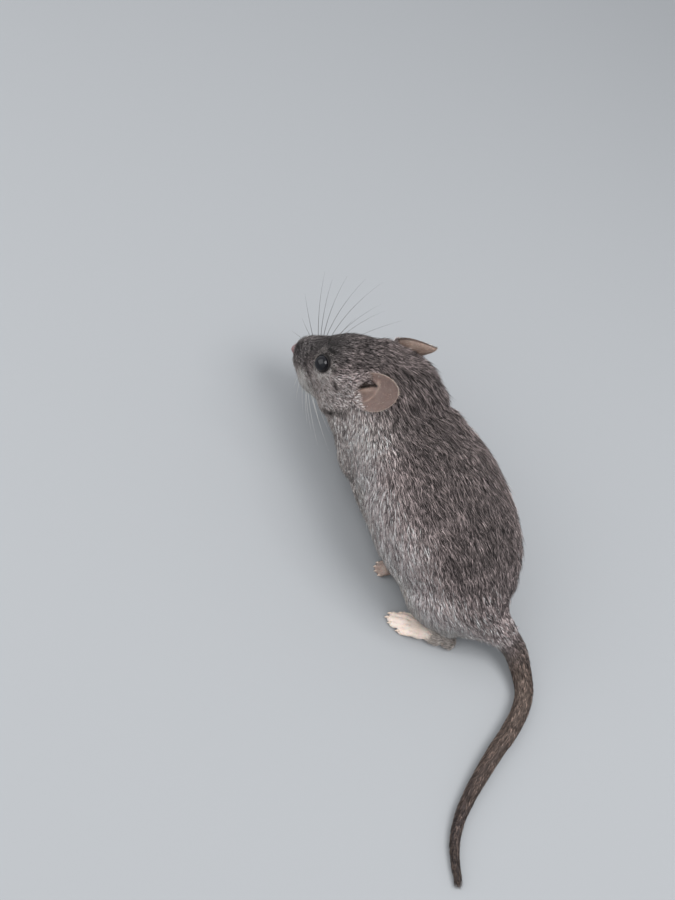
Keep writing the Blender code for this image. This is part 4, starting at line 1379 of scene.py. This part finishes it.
def grizzle(count, random):
    """How bright each tuft is against the coat's tint."""
    kind = random.random(count)
    shade = random.normal(*USUAL, count)
    shade = np.where(kind < DARK_SHARE, random.normal(*DARK, count), shade)
    shade = np.where(kind > 1 - PALE_SHARE, random.normal(*PALE, count), shade)
    return np.clip(shade, 0.1, 2.6)


def locks(points, way, length, random):
    """Which lock each tuft is in, and its direction drawn to the tip of that lock's leader."""
    likely = np.where(length < SHORT, 0.5, 1.0) / LOCK
    leaders = np.nonzero(random.random(len(points)) < likely)[0]
    tree = KDTree(len(leaders))
    for i, leader in enumerate(leaders):
        tree.insert(points[leader], i)
    tree.balance()
    own = np.array([tree.find(point)[1] for point in points])
    lead = leaders[own]
    aim = points[lead] + way[lead] * length[lead][:, None]
    tip = points + way * length[:, None]
    gather = GATHER * (1 - 0.7 * rise(in_head(points)[:, 0], -6, 8))
    return own, unit(tip + (aim - tip) * gather[:, None] - points)


# %% [markdown]
# The tail wears coat hair over its root and short bristles further on, between its scales. The ears
# are furred at their roots and the feet at the heels and wrists, and both have a thin down beyond.
# Each gets a rule for how thickly and how long its hair grows, as the body has.

# %% Tail hair
BRISTLE, ROOT_HAIR_LONGER = 2.6, 1.5  # mm
TAIL_COVER = ((0, 14, 30, 45), (3.4, 3.0, 1.6, 1.3))  # mm along the tail, and tufts over each spot


def tail_share(points):
    """How many millimetres along the tail each point is, and the tail's direction there."""
    line = tail_rows[:, :3]
    steps = np.concatenate([[0], np.cumsum(np.linalg.norm(np.diff(line, axis=0), axis=1))])
    nearest = np.linalg.norm(points[:, None] - line[None], axis=2).argmin(1)
    return steps[nearest], unit(np.gradient(line, axis=0)[nearest])


def tail_hair_length(way_along):
    """Coat hair over the tail's root, short bristles further on."""
    return BRISTLE + ROOT_HAIR_LONGER * (1 - rise(way_along, 4, 30))


def tail_density(points):
    """Tufts to each square millimetre of tail."""
    way_along, _ = tail_share(points)
    return density_for(np.interp(way_along, *TAIL_COVER), tail_hair_length(way_along))


# %% Ear and foot hair
EAR_FUR, EAR_DOWN = 32, 6  # tufts to each square millimetre, at its root and all over
FOOT_FUR, FOOT_DOWN = 24, 7


def ear_side(points):
    """1 for points on the left ear, -1 for the right."""
    return np.where(in_head(points)[:, 1] > 0, 1, -1)


def ear_fur(points):
    """How furred an ear is at each point, from 0 to 1: over its root and the corners of its root."""
    found = np.zeros(len(points))
    for side in (1, -1):
        own = ear_side(points) == side
        share, across = ear_place(points[own], side)
        if side > 0:
            above = (1 - rise(share, 0.22, 0.44)) * rise(across, 0.34, 0.50)
            below = 1 - rise(share + 0.22 * across, -0.06, 0.1)
            found[own] = np.maximum(above, below)
        else:
            found[own] = 1 - rise(share, 0.14, 0.36)
    return found


def ear_density(points):
    """Tufts to each square millimetre of ear."""
    return EAR_FUR * ear_fur(points) + EAR_DOWN


def foot_fur(points):
    """How furred a foot is at each point, most at the heel or the wrist, and the way its toes point."""
    cover, heading = np.zeros(len(points)), np.zeros((len(points), 3))
    best = np.full(len(points), 1e9)
    for name, (heel, turn, _) in STANDS.items():
        toward = math.radians(turn) - math.pi / 2
        toward = np.array((math.cos(toward), math.sin(toward), 0))
        gap = distance_to(points, PAWS[name])
        own = gap < best
        best = np.minimum(best, gap)
        way_along = (points[own] - np.array((*heel, 0))) @ toward
        span = (7, 14) if name.startswith("hind") else (-1, 2.5)
        cover[own] = (1 - rise(way_along, *span)) * rise(points[own][:, 2], 0.6, 2.0)
        heading[own] = toward
    return cover, heading


def foot_density(points):
    """Tufts to each square millimetre of foot: fine hairs above, none on the sole."""
    return (FOOT_FUR * foot_fur(points)[0] + FOOT_DOWN) * rise(points[:, 2], 0.8, 1.8)


# %% [markdown]
# Now the roots of the tail, ears and feet are scattered too, each with its direction and tint. Hair
# on bare skin stands in the open, so its tints are those that it looks, where the coat's are paler to
# make up for its own shade.

# %% Roots of the bare parts
TAIL_TINT, EAR_TINT, FOOT_TINT = 0.36, 1.1, 0.42  # coat hair there against the coat's own tint
BRISTLE_TONE, BRISTLE_SHADES, TIP_DARKER = "#786860", (0.2, 0.8, 2.0), 0.35
EAR_DOWN_TONE, EAR_DOWN_SHADES = "#a08f84", (0.4, 1.0, 1.7)
HIND_DOWN_TONE, FORE_DOWN_TONE = "#d8cfc6", "#6e5f57"
FOOT_SIZE = 22  # mm, from a hind foot's middle, beyond which hair is a forepaw's

length = hair_length(roots)
way = comb(roots, root_normals, chance)
tints = coat_tint(roots)

tail_roots, tail_normals, tail_places = scatter(TAIL_SKIN, tail_density, chance)
tail_along, tail_way = tail_share(tail_roots)
tail_tints = coat_tint(tail_roots) * TAIL_TINT
bristle = np.array(linear(BRISTLE_TONE)) * chance.choice(BRISTLE_SHADES, len(tail_roots))[:, None]
bristle *= (1 - TIP_DARKER * rise(tail_along, 60, 105))[:, None]
tail_tints += (bristle - tail_tints) * rise(tail_along, 6, 30)[:, None]
tail_cover = 1 - 0.1 * rise(tail_along, 8, 34)

ear_roots, ear_normals, ear_places = scatter(EAR_SKIN, ear_density, chance)
ear_cover = ear_fur(ear_roots)
ear_way = np.stack([-ear_axes(side)[:, 0] for side in ear_side(ear_roots)])
ear_tints = np.array(linear(EAR_DOWN_TONE)) * chance.choice(EAR_DOWN_SHADES, len(ear_roots))[:, None]
ear_tints += (coat_tint(ear_roots) * EAR_TINT - ear_tints) * ear_cover[:, None]

foot_parts = [scatter(finish, foot_density, chance) for finish in (FOOT_SKIN, PAW_SKIN)]
foot_roots, foot_normals, foot_places = (np.concatenate(pair) for pair in zip(*foot_parts))
foot_cover, foot_way = foot_fur(foot_roots)
hind_foot = np.minimum(*(distance_to(foot_roots, PAWS[name]) for name in HIND_STAND)) < FOOT_SIZE
foot_tints = np.where(hind_foot[:, None], linear(HIND_DOWN_TONE), linear(FORE_DOWN_TONE))
foot_tints += (coat_tint(foot_roots) * FOOT_TINT - foot_tints) * foot_cover[:, None]

coat_parts = (
    (roots, root_normals, root_places, length, way, tints, np.ones(len(roots))),
    (foot_roots, foot_normals, foot_places, 0.8 + 1.7 * foot_cover, foot_way, foot_tints, foot_cover),
    (tail_roots, tail_normals, tail_places, tail_hair_length(tail_along), tail_way, tail_tints, tail_cover),
    (ear_roots, ear_normals, ear_places, 0.9 + 2.2 * ear_cover, ear_way, ear_tints, ear_cover))
bare = np.arange(sum(len(part[0]) for part in coat_parts)) >= len(roots)  # feet, tail and ears
roots, root_normals, root_places, length, way, tints, cover = (
    np.concatenate(column) for column in zip(*coat_parts))
print("roots with feet, tail and ears:", len(roots))

# %% [markdown]
# One body hair in eight is a guard hair: longer, thinner, a little raised, and dark or pale, so that
# the outline is soft. Every tuft then varies a little in length, width, lift and shade. Hair longer
# than 2.7 mm is bent, and shorter hair is straight.

# %% Vary the tufts
LIFT = 0.36  # how far a tuft rises from the skin at its root, in radians
BARE_SHORT_LIFT, BARE_LIFT = 0.45, 0.9  # its lift on the feet, tail and ears, against the coat's
RAISED = ((NAPE, 0.5, 11), (on_head(3, -5, 11), 0.6, 9))  # place, how much more lift, how far round (mm)
GUARD_SHARE, GUARD_WIDTH, GUARD_LENGTH, GUARD_LIFT = 0.12, 0.6, 1.3, 0.1
GUARD_SHADES = (0.35, 1.3)
LOCK_SHADE = 0.19
THINNEST = 0.1  # mm

own_lock, gathered = locks(roots, way, length, chance)
way = laid_flat(np.where(bare[:, None], way, gathered), root_normals)
turn = chance.normal(0, np.where(bare, 0.16, 0.1))
way = way * np.cos(turn)[:, None] + np.cross(root_normals, way) * np.sin(turn)[:, None]
short = length < SHORT
length = length * np.clip(chance.normal(1.0, 0.14, len(roots)), 0.6, 1.4)
guard = (chance.random(len(roots)) < GUARD_SHARE) & ~bare
width = hair_width(length) * np.where(guard, GUARD_WIDTH, 1.0) * chance.uniform(0.8, 1.15, len(roots))
width = THINNEST + (width - THINNEST) * cover
length = length * np.where(guard, GUARD_LENGTH, 1.0)
lift = LIFT * chance.uniform(0.6, 1.25, len(roots)) + np.where(guard, GUARD_LIFT, 0.0)
lift = lift * np.where(bare, np.where(short, BARE_SHORT_LIFT, BARE_LIFT), 1.0)
for spot, more, reach in RAISED:
    lift = lift * (1 + more * nearness(roots, spot, reach))

lock_shade = np.exp(chance.normal(0, LOCK_SHADE, own_lock.max() + 1))[own_lock]
shade = grizzle(len(roots), chance) * np.where(guard, chance.choice(GUARD_SHADES, len(roots)), 1.0)
head = in_head(roots)
contrast = (1 + (0.1 + 0.4 * rise(head[:, 2], 0, 8)) * rise(head[:, 0], -4, 12)
            + 0.25 * rise(flow(roots)[1], 0.2, 0.8))
shade = np.maximum(1 + (shade - 1) * contrast, 0.08)
shade *= np.where(bare, 1.0, lock_shade) * (1 + 0.10 * ripple(roots, (4, 6), 3))
tints = np.clip(tints * shade[:, None], 0.004, 0.92)

# %% Build the coat
for kind, chosen, most in (("fine", short, MOST_TUFTS * 3 // 2), ("body", ~short, MOST_TUFTS)):
    bent = kind == "body"
    shape = (BENT_FACES, BENT_ALONG, BENT_PATCH) if bent else (SPIKE_FACES, SPIKE_ALONG, SPIKE_PATCH)
    order = np.nonzero(chosen)[0]
    order = order[np.argsort(roots[order, 1], kind="stable")]
    for number, own in enumerate(np.array_split(order, math.ceil(len(order) / most))):
        blades = grow(roots[own], root_normals[own], way[own], length[own], width[own], lift[own],
                      chance, bent)
        store(f"coat_{kind}_{number + 1}", blades, *shape, tints[own], root_places[own])
print("coat triangles:", len(BENT_FACES) * (~short).sum() + len(SPIKE_FACES) * short.sum())

# %% [markdown]
# ## Whiskers
# Long stiff hairs stand in rows on both sides of the muzzle. On this rat the right ones stand up
# dark and the left ones hang pale. Curves with a bevel would do, but the tube helper is at hand, and
# makes meshes at once. Each is a thin tube that tapers to a point and bends back a little.

# %% Whiskers
WHISKER_STEPS, WHISKER_SIDES = 9, 5
WHISKER_TAPER = 0.93  # how much of its thickness is gone at the tip
DARK_THICKNESS, PALE_THICKNESS = 0.13, 0.1  # mm, half of what they are across at the root


def whisker(root, direction, length, droop, thick):
    """A tapering hair from a root in the head's frame, bending backwards and down."""
    start = on_head(*root)
    heading = np.array(HEAD_AXES @ Vector(direction).normalized())
    bend = np.array(HEAD_AXES @ Vector((-1, 0, -0.35)).normalized())
    rows = []
    for share in np.linspace(0, 1, WHISKER_STEPS):
        spot = start + heading * length * share + bend * droop * share**2
        rows.append((*spot, thick * (1 - WHISKER_TAPER * share)))
    return tube(np.array(rows), WHISKER_SIDES)[:2]


# %% Rows of whiskers
# root and direction in the head's frame, length, and how far the tip bends back (mm)
FAR_WHISKERS = (
    ((37.5, -6.6, 0.5), (0.87, -0.04, 0.49), 15, 1.5), ((37, -6.9, -0.5), (0.51, -0.16, 0.85), 17, 2),
    ((37.5, -6.6, 1), (0, 0.02, 1), 28, 2), ((36.5, -7.2, 0.5), (-0.15, -0.08, 0.99), 39, 5),
    ((36, -7.5, 0), (-0.15, -0.21, 0.97), 35, 5), ((35.5, -7.8, 0), (-0.15, -0.39, 0.91), 35, 7),
    ((35, -8, 0.5), (-0.14, -0.67, 0.73), 35, 9), ((34, -8.4, 0), (-0.11, -0.84, 0.54), 38, 11),
    ((33.5, -8.6, -1), (-0.03, -0.97, 0.24), 34, 9), ((32.5, -9, -1), (-0.03, -0.99, 0.13), 34, 9),
    ((31.5, -9.4, -2), (-0.1, -0.99, -0.09), 42, 9), ((32, -9.2, -2), (0.06, -0.91, 0.4), 21, 5))
NEAR_WHISKERS = (
    ((35, 7.8, -3), (0.37, 0.08, -0.92), 21, 3), ((34, 8.2, -4), (0.19, 0.17, -0.97), 26, 4),
    ((33, 8.8, -3), (-0.01, 0.3, -0.95), 30, 4), ((32, 9.4, -4.5), (-0.05, 0.24, -0.97), 21, 4),
    ((31, 9.8, -3.5), (-0.15, 0.33, -0.93), 30, 5), ((33.5, 8.6, -5.5), (0.3, 0.13, -0.94), 23, 3),
    ((36, 7.3, -2.5), (0.52, 0.03, -0.85), 18, 2), ((30, 10.3, -4.5), (-0.17, 0.22, -0.96), 23, 4),
    ((29, 10.8, -3.5), (-0.08, -0.08, -0.99), 19, 4), ((35.5, 7.5, -1.5), (0.7, -0.12, -0.7), 17, 2))
for name, rows, finish, thick in (("whiskers_right", FAR_WHISKERS, DARK_WHISKER, DARK_THICKNESS),
                                  ("whiskers_left", NEAR_WHISKERS, PALE_WHISKER, PALE_THICKNESS)):
    piece = new_object(name, joined_mesh(name, [whisker(*row, thick) for row in rows]))
    piece.data.materials.append(finish)
    piece.data.shade_smooth()
    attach(piece, "root")
    print(name, len(rows))

# %% [markdown]
# ## Floor and light
# The rat lies on a plain pale floor under an even pale sky. The sky alone would leave the coat flat,
# so there is a soft light overhead, a wide one from its left side, and a small weak one that only
# puts the glint in the eye.

# %% Floor
FLOOR_SIZE = 6  # m

bpy.ops.object.select_all(action="DESELECT")
bpy.ops.mesh.primitive_plane_add(size=FLOOR_SIZE, location=(0, 0, 0))
floor = bpy.context.object
floor.name = "floor"
floor_paint, _, floor_shader = material("matt pale floor", Roughness=0.85)
floor_shader.inputs["Base Color"].default_value = (*linear("#8f9193"), 1)
floor.data.materials.append(floor_paint)

# %% Lamps and sky
# name, place, where it points, size (mm) and power (W)
LAMPS = (("overhead light", (-230, 300, 800), (0, 0, 20), 560, 5.8),
         ("side light", (520, -200, 520), (0, -20, 20), 900, 5.2),
         ("eye light", (-232, 181, 384), (0, -80, 30), 50, 0.12))

for name, spot, aim, size, power in LAMPS:
    light = bpy.data.lights.new(name, "AREA")
    light.size = size * MM
    light.energy = power
    lamp = bpy.data.objects.new(name, light)
    bpy.context.scene.collection.objects.link(lamp)
    heading = (Vector(spot) - Vector(aim)) * MM
    turned = heading.to_track_quat("Z", "Y").to_matrix().to_4x4()
    lamp.matrix_world = Matrix.Translation(Vector(spot) * MM) @ turned
world = bpy.data.worlds.new("even sky")
world.use_nodes = True
sky = world.node_tree.nodes["Background"]
sky.inputs["Color"].default_value = (*linear("#e8ebf0"), 1)
sky.inputs["Strength"].default_value = 1.0
bpy.context.scene.world = world
bpy.context.scene.view_settings.view_transform = "Standard"
print("lamps:", len(LAMPS))
